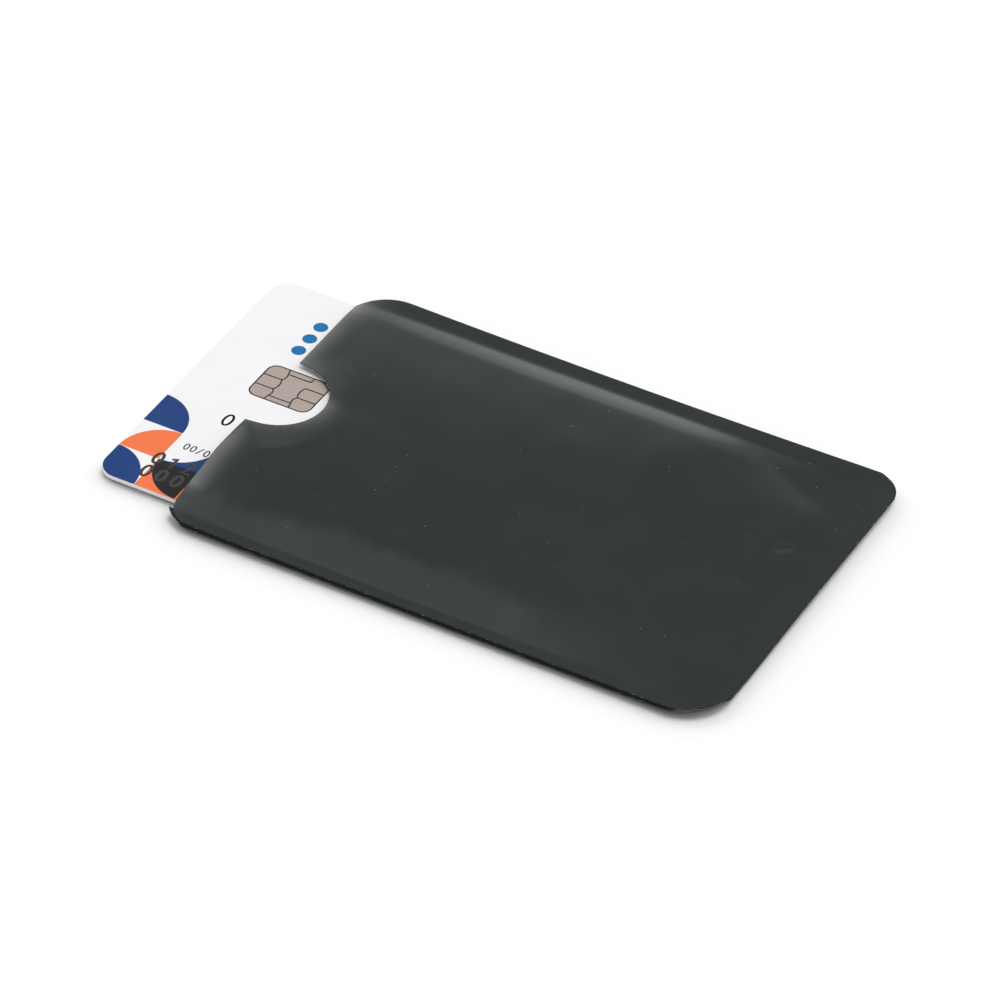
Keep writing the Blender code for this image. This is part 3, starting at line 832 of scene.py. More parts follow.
@dataclass(frozen=True)
class PanelOutline:
    """Outline of a panel: where each row across the sleeve starts and ends."""

    notch_centre: float = 1.65
    notch_half_width: float = 7.70
    notch_depth: float = 8.75
    bow: float = 0.25
    bow_reach: float = 38.0
    mouth_inset: float = 0.40
    mouth_slant: float = 0.75
    slant_span: Point = (-13.0, -12.0)
    flank_span: Point = (1.0, 6.0)
    mouth_far: CutCorner = CutCorner(7.10, 5.00, 7.40)
    mouth_near: CutCorner = CutCorner(3.50, 5.00, 5.00)
    closed_far: CutCorner = CutCorner(4.30, 4.20, 6.30)
    closed_near: CutCorner = CutCorner(7.00, 6.40, 7.60)
    near_rows: float = 6.6
    far_rows: float = 5.6
    corner_count: int = 30
    notch_count: int = 49
    notch_margin: float = 1.2
    row_step: float = 0.6
    fine_step: float = 0.3
    mouth_shift: float = 42.0
    end_shift: float = 32.0

    @property
    def notch_radius(self) -> float:
        """Radius of the notch's arc, from its half width and depth."""
        return (self.notch_half_width**2 + self.notch_depth**2) / (2.0 * self.notch_depth)

    @property
    def notch_x(self) -> float:
        """Where the centre of the notch's arc lies along the sleeve."""
        return -HALF_LENGTH + self.mouth_inset + self.notch_depth - self.notch_radius

    def mouth(self, y: np.ndarray) -> np.ndarray:
        """Where the mouth's edge lies: set in a little, and more so on the near side."""
        slant = self.mouth_slant * eased(y, self.slant_span)
        return -HALF_LENGTH + self.mouth_inset + slant

    def from_mouth(self, x: np.ndarray, y: np.ndarray, rounding: float, flank: float) -> np.ndarray:
        """Distance from the mouth's edge or the notch's arc, whichever is nearer.

        Args:
            x: along the sleeve.
            y: across it.
            rounding: how far the change between the two is rounded, squared.
            flank: what is added to the distance from the notch on its far flank.

        Returns:
            The distance at each point, not below 0.
        """
        off_mouth = x - self.mouth(y)
        off_arc = np.hypot(x - self.notch_x, y - self.notch_centre) - self.notch_radius
        off_arc = off_arc + flank * eased(y - self.notch_centre, self.flank_span)
        gap = off_mouth - off_arc
        return np.maximum(0.5 * (off_mouth + off_arc - np.sqrt(gap * gap + rounding)), 0.0)

    def rows(self) -> np.ndarray:
        """Where the rows lie across: dense at the cut corners and round the notch.

        Returns:
            The rows' y values, from the near side to the far one.
        """
        corner = np.linspace(0.0, 1.0, self.corner_count, endpoint=False) ** 2
        near_end, far_end = -HALF_WIDTH + self.near_rows, HALF_WIDTH - self.far_rows
        near = -HALF_WIDTH + self.near_rows * corner
        far = (HALF_WIDTH - self.far_rows * corner)[::-1]
        tip = math.asin(self.notch_half_width / self.notch_radius)
        turns = np.linspace(-tip, tip, self.notch_count)
        arc = self.notch_centre + self.notch_radius * np.sin(turns)
        step, fine, margin = self.row_step, self.fine_step, self.notch_margin
        lower = spaced([(near_end, step), (arc[0] - margin, fine), (arc[0], fine)])[:-1]
        upper = spaced([(arc[-1], fine), (arc[-1] + margin, step), (far_end, step)])[1:]
        return np.concatenate([near, lower, arc, upper, far])

    def starts(self, rows: np.ndarray, with_notch: bool) -> np.ndarray:
        """Where each row starts, at the mouth.

        Args:
            rows: the rows' y values.
            with_notch: whether the panel has the thumb notch.

        Returns:
            The x value at which each row starts.
        """
        starts = self.mouth(rows) + self.mouth_near.reach(rows + HALF_WIDTH)
        starts = starts + self.mouth_far.reach(HALF_WIDTH - rows)
        if with_notch:
            away = rows - self.notch_centre
            arc = self.notch_x + np.sqrt(np.maximum(self.notch_radius**2 - away**2, 0.0))
            inside = np.abs(away) <= self.notch_half_width + 1e-6
            starts = np.where(inside, np.maximum(starts, arc), starts)
        return starts

    def ends(self, rows: np.ndarray) -> np.ndarray:
        """Where each row ends, at the closed end."""
        cut = self.closed_near.reach(rows + HALF_WIDTH)
        return HALF_LENGTH - cut - self.closed_far.reach(HALF_WIDTH - rows)

    def grid(self, with_notch: bool) -> Arrays:
        """The points of a flat sheet cut to the outline.

        Each row keeps the columns' spacing, shifted by its start at the mouth and by
        its end at the closed end. The shifts fade out linearly towards the middle. The
        far side is drawn in by a shallow bow.

        Args:
            with_notch: whether the panel has the thumb notch.

        Returns:
            Arrays of x and y, rows by columns.
        """
        rows, end = self.rows(), HALF_LENGTH
        near_mouth = [(-end, 0.2), (-end + 1.2, 0.36), (-end + 9.0, 0.8)]
        columns = spaced([*near_mouth, (38.0, 0.32), (43.6, 0.45), (end, 0.45)])
        from_mouth = np.clip(1.0 - (columns + end) / self.mouth_shift, 0.0, 1.0)
        from_end = np.clip(1.0 - (end - columns) / self.end_shift, 0.0, 1.0)
        shift = (self.starts(rows, with_notch) + end)[:, None] * from_mouth[None, :]
        shift = shift + (self.ends(rows) - end)[:, None] * from_end[None, :]
        x = columns[None, :] + shift
        drawn_in = self.bow * np.clip(1.0 - (x / self.bow_reach) ** 2, 0.0, 1.0)
        far = np.clip(rows[:, None] / HALF_WIDTH, 0.0, 1.0) ** 2
        return x, rows[:, None] - drawn_in * far


@dataclass(frozen=True)
class FrontDrape:
    """Height of the front panel's inner side over the sleeve."""

    outline: PanelOutline = PanelOutline()
    rim: float = 0.945
    rim_curl: float = 0.22
    far_rise: float = 0.009
    plateau: float = 1.14
    crown: float = 0.16
    far_crease: float = 27.85
    near_crease: float = 29.15
    end_crease: float = 41.20
    far_reach: float = 4.0
    near_reach: float = 10.4
    end_reach: float = 6.0
    crease: float = 0.35
    near_sways: tuple = ((0.8, 0.27, 0.5), (0.5, 0.71, 2.0), (0.25, 1.57, 0.0))
    lip_lengths: Point = (6.7, 6.5)
    lip_power: float = 2.6
    lip_rounding: float = 2.0
    near_lip_span: Point = (-13.0, 14.0)
    far_lip_span: Point = (9.0, 9.0)
    lip_side_span: Point = (27.8, -5.5)
    lip_length_span: Point = (2.0, 12.0)
    near_lip: float = 0.52
    tip_lip: float = 0.13
    far_lip: float = 0.14
    fold_start: Point = (22.0, 27.6)
    fold_end: Point = (44.9, 15.0)
    fold_slope: float = 0.012
    fold_slope_past: float = 0.020
    fold_spans: Point = (18.5, 8.0)
    fold_change: Point = (20.0, 14.0)
    fold_fade: float = 13.0
    fold_easing: Point = (-12.0, -20.0)
    fold_eased: float = 0.3
    crown_span: Point = (27.0, -17.0)
    dimple: Point = (37.84, 7.75)
    dimple_turn: float = 32.0
    dimple_size: Point = (2.5, 1.7)
    dimple_slope: float = 0.026
    wave: float = 0.004
    wave_sets: tuple = (
        (0.31, 0.22, 0.4),
        (-0.17, 0.44, 1.9),
        (0.52, -0.13, 3.1),
        (0.11, 0.71, 4.4),
        (0.83, 0.37, 0.9),
    )

    def waves(self, x: np.ndarray, y: np.ndarray) -> np.ndarray:
        """Faint slow waves of the laid film: a few sines of unlike direction and length.

        Args:
            x: along the sleeve.
            y: across it.

        Returns:
            The waves' height.
        """
        total = np.zeros_like(x)
        for along, across, phase in self.wave_sets:
            size = (0.3 / math.hypot(along, across)) ** 1.3
            total = total + np.sin(along * x + across * y + phase) * size
        return self.wave * total

    def lips(self, x: np.ndarray, y: np.ndarray) -> np.ndarray:
        """The lift at the mouth: a power of the distance left to the lip's length.

        The distance is taken from the mouth's edge and from the notch's arc, whichever
        is nearer, with the change between them rounded. The near side lifts most, the
        notch's far tip least, and the lift eases out to the sealed corners.

        Args:
            x: along the sleeve.
            y: across it.

        Returns:
            The lift.
        """
        near, far = self.lip_lengths
        lift = self.near_lip + (self.tip_lip - self.near_lip) * eased(y, self.near_lip_span)
        lift = lift + (self.far_lip - self.tip_lip) * eased(y, self.far_lip_span)
        lift = lift * eased(np.abs(y), self.lip_side_span)
        length = near + (far - near) * eased(y, self.lip_length_span)
        away = self.outline.from_mouth(x, y, self.lip_rounding, 0.0)
        return lift * np.clip(1.0 - away / length, 0.0, 1.0) ** self.lip_power

    def fold(self, x: np.ndarray, y: np.ndarray) -> np.ndarray:
        """The sheet's faint fall towards the far side, which stops at a slanting fold.

        Below the fold's line the fall is a square of the distance past a span; beyond
        the line the sheet lies level. The line follows the far crease, and then runs on
        a slant from the card's corner to the closed end, where the span is shorter.

        Args:
            x: along the sleeve.
            y: across it.

        Returns:
            The fall.
        """
        (start_x, start_y), (end_x, end_y) = self.fold_start, self.fold_end
        steep = (start_y - end_y) / (end_x - start_x)
        past = 0.5 * (x - start_x + np.sqrt((x - start_x) ** 2 + 1.0))
        share = eased(x, self.fold_change)
        span = self.fold_spans[0] + (self.fold_spans[1] - self.fold_spans[0]) * share
        below = np.maximum(start_y - steep * past - y, 0.0)
        left = np.clip(1.0 - below / span, 0.0, 1.0)
        fade = eased(x, (end_x + 1.0, -self.fold_fade))
        slope = self.fold_slope * (1.0 - self.fold_eased * eased(x, self.fold_easing))
        slope = slope + (self.fold_slope_past - self.fold_slope) * share
        return slope * span * 0.5 * left * left * fade

    def dent(self, x: np.ndarray, y: np.ndarray) -> np.ndarray:
        """A small oval dent whose floor slopes evenly, and which fades at its border.

        Args:
            x: along the sleeve.
            y: across it.

        Returns:
            The dent's height, on both sides of 0.
        """
        off_x, off_y = x - self.dimple[0], y - self.dimple[1]
        turn = math.radians(self.dimple_turn)
        long = off_x * math.cos(turn) + off_y * math.sin(turn)
        short = off_y * math.cos(turn) - off_x * math.sin(turn)
        oval = (long / self.dimple_size[0]) ** 2 + (short / self.dimple_size[1]) ** 2
        return -self.dimple_slope * short * np.exp(-(oval**2))

    def height(self, x: np.ndarray, y: np.ndarray) -> np.ndarray:
        """Height of the panel's inner side.

        The rim, which rises a little to the far side, plus what the plateau stands over
        it times the rises from the far, near and end creases, plus the lips. The plateau
        has the crown, the dent, the waves and the fall to the slanting fold.

        Args:
            x: along the sleeve.
            y: across it.

        Returns:
            The height at each point.
        """
        rim = self.rim + self.rim_curl * (x / HALF_LENGTH) ** 2
        rim = rim + self.far_rise * np.maximum(y - self.far_crease, 0.0)
        far = soft_shoulder(self.far_crease - y, self.far_reach, self.crease)
        sway = sum(size * np.sin(pace * x + phase) for size, pace, phase in self.near_sways)
        near = soft_shoulder(self.near_crease + y, self.near_reach + sway, self.crease)
        end = soft_shoulder(self.end_crease - x, self.end_reach, self.crease)
        plateau = self.plateau + self.crown * eased(x, self.crown_span)
        plateau = plateau + self.dent(x, y) + self.waves(x, y) - self.fold(x, y)
        return rim + (plateau - rim) * (far * near * end) + self.lips(x, y)


@dataclass(frozen=True)
class BackDrape:
    """Height of the back panel's underside: level under the pocket, raised at the rim."""

    rim: float = 0.685
    rim_curl: float = 0.22
    fold_y: float = 28.89
    side_flank: float = 1.70
    fold_x: float = 43.20
    end_flank: float = 1.80
    splay: float = 0.42
    splay_width: float = 1.3
    splay_power: float = 1.5
    end_span: Point = (4.0, -24.0)
    corner_spans: tuple = ((30.0, 12.0), (-18.0, -10.0))

    def free_edge(self, x: np.ndarray, y: np.ndarray) -> np.ndarray:
        """How far the panel's free edge hangs below the seal, most on the near side.

        Args:
            x: along the sleeve.
            y: across it.

        Returns:
            The drop: a power of how near the near side or the closed end is.
        """
        near = np.clip(1.0 - (y + HALF_WIDTH) / self.splay_width, 0.0, 1.0)
        end = np.clip(1.0 - (HALF_LENGTH - x) / self.splay_width, 0.0, 1.0)
        end = end * eased(y, self.end_span)
        corner = eased(x, self.corner_spans[0]) * eased(y, self.corner_spans[1])
        return self.splay * (1.0 - 0.5 * corner) * np.maximum(near, end) ** self.splay_power

    def height(self, x: np.ndarray, y: np.ndarray) -> np.ndarray:
        """The rim's height times what is left of the swell, which is eased on each flank.

        Args:
            x: along the sleeve.
            y: across it.

        Returns:
            The height at each point.
        """
        swell = eased(np.abs(y), (self.fold_y, -self.side_flank))
        swell = swell * eased(x, (self.fold_x, -self.end_flank))
        rim = self.rim + self.rim_curl * (x / HALF_LENGTH) ** 2
        return rim * (1.0 - swell) - self.free_edge(x, y)


@dataclass(frozen=True)
class Sleeve:
    """The laminated sleeve: two draped panels of three layers, and the seal."""

    outline: PanelOutline = PanelOutline()
    back_outline: PanelOutline = PanelOutline(closed_near=CutCorner(7.40, 6.80, 8.00))
    front: FrontDrape = FrontDrape()
    back: BackDrape = BackDrape()
    layers: tuple = (("outer_film", 0.08), ("foil", 0.03), ("liner", 0.07))
    glue: float = 0.01
    highlight_flank: float = 6.0
    film: Finish = OuterFilm(
        "film_finish", "film", 0.5, specular=0.0, coat=0.57, coat_roughness=0.07
    )
    foil: Finish = RolledFoil("foil_finish", "foil", 0.28, metallic=1.0)
    liner: Finish = LinerPaper("liner_finish", "liner", 0.75)
    seal: Finish = HeatSeal("seal_finish", "seal", 0.7, specular=0.1)

    def build_panel(self, side: str, materials: dict[str, bpy.types.Material]) -> None:
        """Drape a panel's three layers over its height, from the bottom up.

        Args:
            side: front or back.
            materials: the material of each slot.
        """
        is_front = side == "front"
        x, y = (self.outline if is_front else self.back_outline).grid(with_notch=is_front)
        base = (self.front if is_front else self.back).height(x, y)
        reach = x + HALF_LENGTH
        # On the front, the distance grows on the notch's far flank, which keeps the painted
        # highlight off it.
        if is_front:
            reach = self.outline.from_mouth(x, y, 0.0, self.highlight_flank)
        for layer, thickness in self.layers[::-1] if is_front else self.layers:
            node, slot = side + "_" + layer, layer.split("_")[-1]
            lower = np.stack([x, y, base], axis=2)
            upper = np.stack([x, y, base + thickness], axis=2)
            thing = closed_sheet(node + "_draped", lower, upper, reach)
            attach(thing, "sleeve")
            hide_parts(node)
            dress(thing, materials[slot])
            base = base + thickness + self.glue

    def build(self) -> None:
        """Build both panels and dress every layer and the seal."""
        finishes = (self.film, self.foil, self.liner, self.seal)
        materials = {finish.slot: finish.make() for finish in finishes}
        for side in ("back", "front"):
            self.build_panel(side, materials)
        dress(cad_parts["edge_seal"], materials["seal"])
        log.info("edge_seal: dressed")


@dataclass(frozen=True)
class CardPlaces:
    """Where the card and its module lie in the shared frame, at rest."""

    outer_x: float = -59.40
    near_y: float = -26.99
    top: float = 1.03
    module_centre: Point = (-44.30, 4.14)
    module_size: Point = (10.60, 8.00)
    module_radius: float = 1.50


@dataclass(frozen=True)
class CorePlastic(Finish):
    """White plastic sheet, with painted shade in the gap round the module."""

    colour: Colour = (243.0, 243.0, 244.0)
    gap_shade_colour: Colour = (58.0, 46.0, 38.0)
    gap: float = 0.12
    places: CardPlaces = CardPlaces()

    def paint(self, desk: NodeDesk, place: Signal) -> None:
        """Paint the core.

        Args:
            desk: the material's desk.
            place: the place on the piece, in millimetres.
        """
        grain = SHELF.put(desk, Effect.GRAIN, place, Fine=5.0, Cloud=0.5)
        sides = zip(desk.parts(place), self.places.module_centre, self.places.module_size)
        off = [abs(value - middle) - (size / 2 + self.gap) for value, middle, size in sides]
        # Painted shade: the core is dark inside the module's recess and its gap.
        inside = desk.calc("LESS_THAN", desk.most(*off), 0.0)
        plain = desk.mix(grain["Clouds"], to_linear(self.colour, 0.96), to_linear(self.colour))
        desk.shader_to("Base Color", desk.mix(inside, plain, to_linear(self.gap_shade_colour)))
        desk.shader_to("Normal", desk.bump(grain["Grain"], 0.002))


@dataclass(frozen=True)
class PrintedFace(Finish):
    """White laminate, printed with a band of quarter-round tiles and three dots, with painted shade
    round the module.
    """

    colour: Colour = (241.0, 241.0, 243.0)
    blue: Colour = (6.0, 56.0, 119.0)
    orange: Colour = (241.0, 118.0, 68.0)
    dark: Colour = (24.0, 20.0, 27.0)
    teal: Colour = (0.0, 108.0, 168.0)
    gap_shade_colour: Colour = (52.0, 42.0, 37.0)
    gap_width: Point = (0.16, 0.09)
    dots_at: Point = (-47.9, 16.2)
    dot_pitch: float = 3.3
    dot_radius: float = 1.15
    dot_edge: float = 0.04
    tile: float = 6.90
    band_rows: float = 3.0
    places: CardPlaces = CardPlaces()

    def band(self, desk: NodeDesk, x: Signal, y: Signal, paper: Signal) -> Signal:
        """Lay the band of tiles over the paper's colour.

        Each tile holds a quarter disc about one of its corners. Which corner, and the
        colours of the tile's ground and disc, go round with its column and row. The
        first column has one row more than the others.

        Args:
            desk: the material's desk.
            x: along the card.
            y: across it.
            paper: the colour under the print.

        Returns:
            The printed colour.
        """
        along = (x - self.places.outer_x) / self.tile
        across = (y - self.places.near_y) / self.tile
        column, row = desk.calc("FLOOR", along), desk.calc("FLOOR", across)
        turn = desk.calc("FLOORED_MODULO", row * 2.0 + column, 4.0)
        off_x = desk.calc("FRACT", along) - desk.calc("FLOORED_MODULO", column + row, 2.0)
        off_y = desk.calc("FRACT", across) - desk.calc("FLOORED_MODULO", column, 2.0)
        disc = desk.ramp(desk.length(off_x, off_y), 1.0, 0.985)
        blue, orange, dark = map(to_linear, (self.blue, self.orange, self.dark))
        pairs = ((paper, blue), (orange, dark), (paper, orange), (blue, paper))
        tile = paper
        for number, (ground, round_part) in enumerate(pairs):
            here = desk.calc("COMPARE", turn, float(number), 0.5)
            tile = desk.mix(here, tile, desk.mix(disc, ground, round_part))
        height = self.band_rows - desk.calc("MINIMUM", column, 1.0)
        return desk.mix(desk.calc("LESS_THAN", across, height), paper, tile)

    def dots(self, desk: NodeDesk, x: Signal, y: Signal) -> Signal:
        """A column of three dots: one dot, repeated a pitch apart within three pitches.

        Args:
            desk: the material's desk.
            x: along the card.
            y: across it.

        Returns:
            1 on a dot and 0 away from it.
        """
        off_y, half = y - self.dots_at[1], self.dot_pitch / 2
        away = desk.length(x - self.dots_at[0], desk.calc("WRAP", off_y, half, -half))
        dot = desk.ramp(away, self.dot_radius + self.dot_edge, self.dot_radius - self.dot_edge)
        return dot * desk.calc("LESS_THAN", abs(off_y), 3 * half)

    def gap(self, desk: NodeDesk, x: Signal, y: Signal) -> Signal:
        """The painted shade round the module: a dark line near a rectangle with rounded corners.

        Args:
            desk: the material's desk.
            x: along the card.
            y: across it.

        Returns:
            1 on the line and 0 away from it.
        """
        spot = self.places
        sides = zip((x, y), spot.module_centre, spot.module_size)
        past = [
            desk.most(abs(value - middle) - (size / 2 - spot.module_radius), 0.0)
            for value, middle, size in sides
        ]
        outer, inner = (spot.module_radius + width for width in self.gap_width)
        return desk.ramp(desk.length(*past), outer, inner)

    def paint(self, desk: NodeDesk, place: Signal) -> None:
        """Paint the printed face.

        Args:
            desk: the material's desk.
            place: the place on the piece, in millimetres.
        """
        grain = SHELF.put(desk, Effect.GRAIN, place, Fine=1.6, Cloud=0.2)
        x, y, _ = desk.parts(place)
        paper = desk.mix(grain["Clouds"], to_linear(self.colour, 0.975), to_linear(self.colour))
        printed = self.band(desk, x, y, paper)
        printed = desk.mix(self.dots(desk, x, y), printed, to_linear(self.teal))
        # Painted shade of the module's gap, laid on the face.
        printed = desk.mix(self.gap(desk, x, y), printed, to_linear(self.gap_shade_colour))
        desk.shader_to("Base Color", printed)
        desk.shader_to("Roughness", grain["Clouds"] * 0.08 + self.roughness)
        desk.shader_to("Normal", desk.bump(grain["Grain"], 0.0015))


@dataclass(frozen=True)
class BackFace(Finish):
    """The card's back: white laminate with a pale signature panel of fine wavy lines."""

    colour: Colour = (240.0, 240.0, 242.0)
    panel_colour: Colour = (229.0, 231.0, 222.0)
    ink: Colour = (150.0, 178.0, 200.0)
    panel_centre: Point = (-24.0, 2.5)
    panel_half: Point = (28.0, 4.5)
    sway: Point = (1.1, 0.22)
    line_pace: float = 9.0

    def paint(self, desk: NodeDesk, place: Signal) -> None:
        """Paint the back face.

        Args:
            desk: the material's desk.
            place: the place on the piece, in millimetres.
        """
        grain = SHELF.put(desk, Effect.GRAIN, place, Fine=1.6, Cloud=0.2)
        x, y, _ = desk.parts(place)
        sway = desk.calc("SINE", x * self.sway[0]) * self.sway[1]
        lines = desk.calc("SINE", (y + sway) * self.line_pace)
        sides = zip((x, y), self.panel_centre, self.panel_half)
        off = [abs(value - middle) - half for value, middle, half in sides]
        panel = desk.calc("LESS_THAN", desk.most(*off), 0.0)
        paper = desk.mix(grain["Clouds"], to_linear(self.colour, 0.97), to_linear(self.colour))
        paper = desk.mix(panel * 0.5, paper, to_linear(self.panel_colour))
        inked = desk.mix(panel * desk.ramp(lines, 0.72, 0.95), paper, to_linear(self.ink))
        desk.shader_to("Base Color", inked)
        desk.shader_to("Roughness", panel * 0.25 + self.roughness)
        desk.shader_to("Normal", desk.bump(grain["Grain"], 0.0015))


@dataclass(frozen=True)
class ContactPlating(Finish):
    """Warm plated contacts, brushed along the card, with a faint wiped mark on each."""

    colour: Colour = (162.0, 149.0, 142.0)
    smudge_colour: Colour = (150.0, 128.0, 108.0)
    scratch_colour: Colour = (110.0, 98.0, 88.0)

    def paint(self, desk: NodeDesk, place: Signal) -> None:
        """Paint the contacts.

        Args:
            desk: the material's desk.
            place: the place on the piece, in millimetres.
        """
        lines = SHELF.put(desk, Effect.BRUSHED, place, Fine=7.0, Stretch=0.07)
        grain = SHELF.put(desk, Effect.GRAIN, place, Fine=2.0, Cloud=0.45)
        colour = desk.mix(lines["Lines"], to_linear(self.colour, 0.66), to_linear(self.colour))
        smudge = desk.ramp(grain["Clouds"], 0.52, 0.72)
        colour = desk.mix(smudge * 0.35, colour, to_linear(self.smudge_colour))
        colour = desk.mix(lines["Scratches"] * 0.4, colour, to_linear(self.scratch_colour))
        desk.shader_to("Base Color", colour)
        desk.shader_to("Roughness", smudge * 0.12 + self.roughness)
        desk.shader_to("Normal", desk.bump(lines["Lines"], 0.004))


@dataclass(frozen=True)
class GrainedSolid(Finish):
    """A moulded or woven solid of two near colours with fine grain."""

    colour: Colour = (120.0, 120.0, 120.0)
    second: Colour = (100.0, 100.0, 100.0)
    fine: float = 4.0
    cloud: float = 0.8
    depth: float = 0.004

    def paint(self, desk: NodeDesk, place: Signal) -> None:
        """Paint the solid.

        Args:
            desk: the material's desk.
            place: the place on the piece, in millimetres.
        """
        grain = SHELF.put(desk, Effect.GRAIN, place, Fine=self.fine, Cloud=self.cloud)
        colour = desk.mix(grain["Clouds"], to_linear(self.colour), to_linear(self.second))
        desk.shader_to("Base Color", colour)
        desk.shader_to("Normal", desk.bump(grain["Grain"], self.depth))


def arc(centre: Point, radii: Point, start: float, end: float, count: int = 18) -> np.ndarray:
    """Points on an arc of an ellipse, from one angle to another.

    Args:
        centre: the ellipse's centre.
        radii: its half width and half height.
        start: first angle, in degrees.
        end: last angle.
        count: how many points.

    Returns:
        The points, count by 2.
    """
    angles = np.radians(np.linspace(start, end, count))
    return np.array(centre) + np.array(radii) * np.stack([np.cos(angles), np.sin(angles)], axis=1)


# Plain stroke digits and a slash, in a box one wide and two high. Each stroke is a
# list of stretches that follow one another.
STROKES = {
    "0": [[arc((0.5, 1.0), (0.5, 1.0), 0.0, 360.0, 37)]],
    "1": [[[(0.15, 1.65), (0.55, 2.0), (0.55, 0.0)]]],
    "2": [[arc((0.5, 1.5), (0.48, 0.5), 165.0, -30.0), [(0.02, 0.0), (0.98, 0.0)]]],
    "3": [
        [
            arc((0.48, 1.52), (0.45, 0.48), 150.0, -80.0),
            arc((0.48, 0.52), (0.5, 0.52), 80.0, -150.0),
        ]
    ],
    "4": [[[(0.95, 0.6), (0.0, 0.6), (0.7, 2.0), (0.7, 0.0)]]],
    "5": [
        [
            [(0.9, 2.0), (0.15, 2.0), (0.1, 1.15)],
            arc((0.46, 0.62), (0.5, 0.62), 125.0, -150.0),
        ]
    ],
    "6": [
        [
            arc((0.75, 1.2), (0.7, 0.8), 95.0, 180.0),
            arc((0.5, 0.58), (0.47, 0.58), 180.0, 540.0, 30),
        ]
    ],
    "7": [[[(0.0, 2.0), (0.98, 2.0), (0.35, 0.0)]]],
    "8": [
        [arc((0.5, 1.5), (0.42, 0.5), -90.0, 270.0, 30)],
        [arc((0.5, 0.5), (0.5, 0.5), -90.0, 270.0, 30)],
    ],
    "9": [
        [
            arc((0.5, 1.42), (0.47, 0.58), 0.0, 360.0, 30),
            arc((0.25, 0.8), (0.7, 0.8), 0.0, -85.0),
        ]
    ],
    "/": [[[(0.0, -0.1), (0.9, 2.1)]]],
}


@dataclass(frozen=True)
class NumberLine:
    """A line of plain digits on the card's face, as raised strokes."""

    name: str
    text: str
    start: Point
    height: float
    pitch: float
    stroke: float
    relief: float
    sunk: float = 0.004  # how far the strokes reach into the face
    cap_steps: tuple = (0.98, 0.8, 0.5)
    profile_count: int = 8

    def tube(self, path: np.ndarray, top: float) -> Arrays:
        """Carry a low round profile along a path.

        The profile is the upper half of an ellipse, one stroke wide and one relief high.
        At both ends the path goes on half a stroke, where the profile shrinks to a point.

        Args:
            path: n by 2 array of points in millimetres.
            top: height of the face it stands on.

        Returns:
            Points and four-sided faces.
        """
        step = np.gradient(path, axis=0)
        step = step / np.maximum(np.hypot(step[:, 0], step[:, 1]), 1e-9)[:, None]
        out = np.array(self.cap_steps)
        first = path[0] - step[0] * (out[:, None] * self.stroke / 2)
        last = path[-1] + step[-1] * (out[::-1, None] * self.stroke / 2)
        spine = np.concatenate([first, path, last])
        ends = [np.repeat(some, len(out), 0) for some in (step[:1], step[-1:])]
        heading = np.concatenate([ends[0], step, ends[1]])
        narrow = np.sqrt(1 - out**2)
        size = np.concatenate([narrow, np.ones(len(path)), narrow[::-1]])
        side = np.stack([-heading[:, 1], heading[:, 0]], axis=1)
        angles = np.linspace(0.0, math.pi, self.profile_count)
        across = np.concatenate([np.cos(angles), [-1.0, 1.0]]) * self.stroke / 2
        lift = np.concatenate([np.sin(angles) * self.relief, [-self.sunk, -self.sunk]])
        flat = spine[:, None, :] + side[:, None, :] * (across[None, :, None] * size[:, None, None])
        high = top + lift[None, :] * np.where(lift[None, :] > 0, size[:, None], 1.0)
        points = np.concatenate([flat, high[:, :, None]], axis=2)
        rings, sides = points.shape[:2]
        number = np.arange(rings * sides).reshape(rings, sides)
        ahead = np.roll(number, -1, axis=1)
        walls = np.stack([number[:-1], ahead[:-1], ahead[1:], number[1:]], axis=2)
        half = sides // 2
        caps = [
            np.stack(
                [ring[: half - 1], ring[1:half], ring[::-1][1:half], ring[::-1][: half - 1]], axis=1
            )
            for ring in (number[0][::-1], number[-1])
        ]
        return points.reshape(-1, 3), np.concatenate([walls.reshape(-1, 4), *caps])

    def build(self, top: float, material: bpy.types.Material) -> None:
        """Build the whole line as one piece.

        Args:
            top: height of the card's face.
            material: its finish.
        """
        tubes, scale = [], self.height / 2.0
        for place, sign in enumerate(self.text):
            shift = np.array([place * self.pitch, 0.0])
            for stroke in STROKES.get(sign, []):
                path = np.concatenate([np.asarray(stretch) for stretch in stroke]) * scale
                tubes.append(self.tube(path + np.array(self.start) + shift, top))
        thing = joined_mesh(self.name, tubes)
        shade(thing, STROKE_ANGLE)
        dress(thing, material)
        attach(thing, "card")


def dress_nodes(finishes: dict[str, Finish]) -> None:
    """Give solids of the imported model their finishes.

    Args:
        finishes: the finish of each node.
    """
    for node, finish in finishes.items():
        dress(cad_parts[node], finish.make())
        log.info("%s: dressed", node)


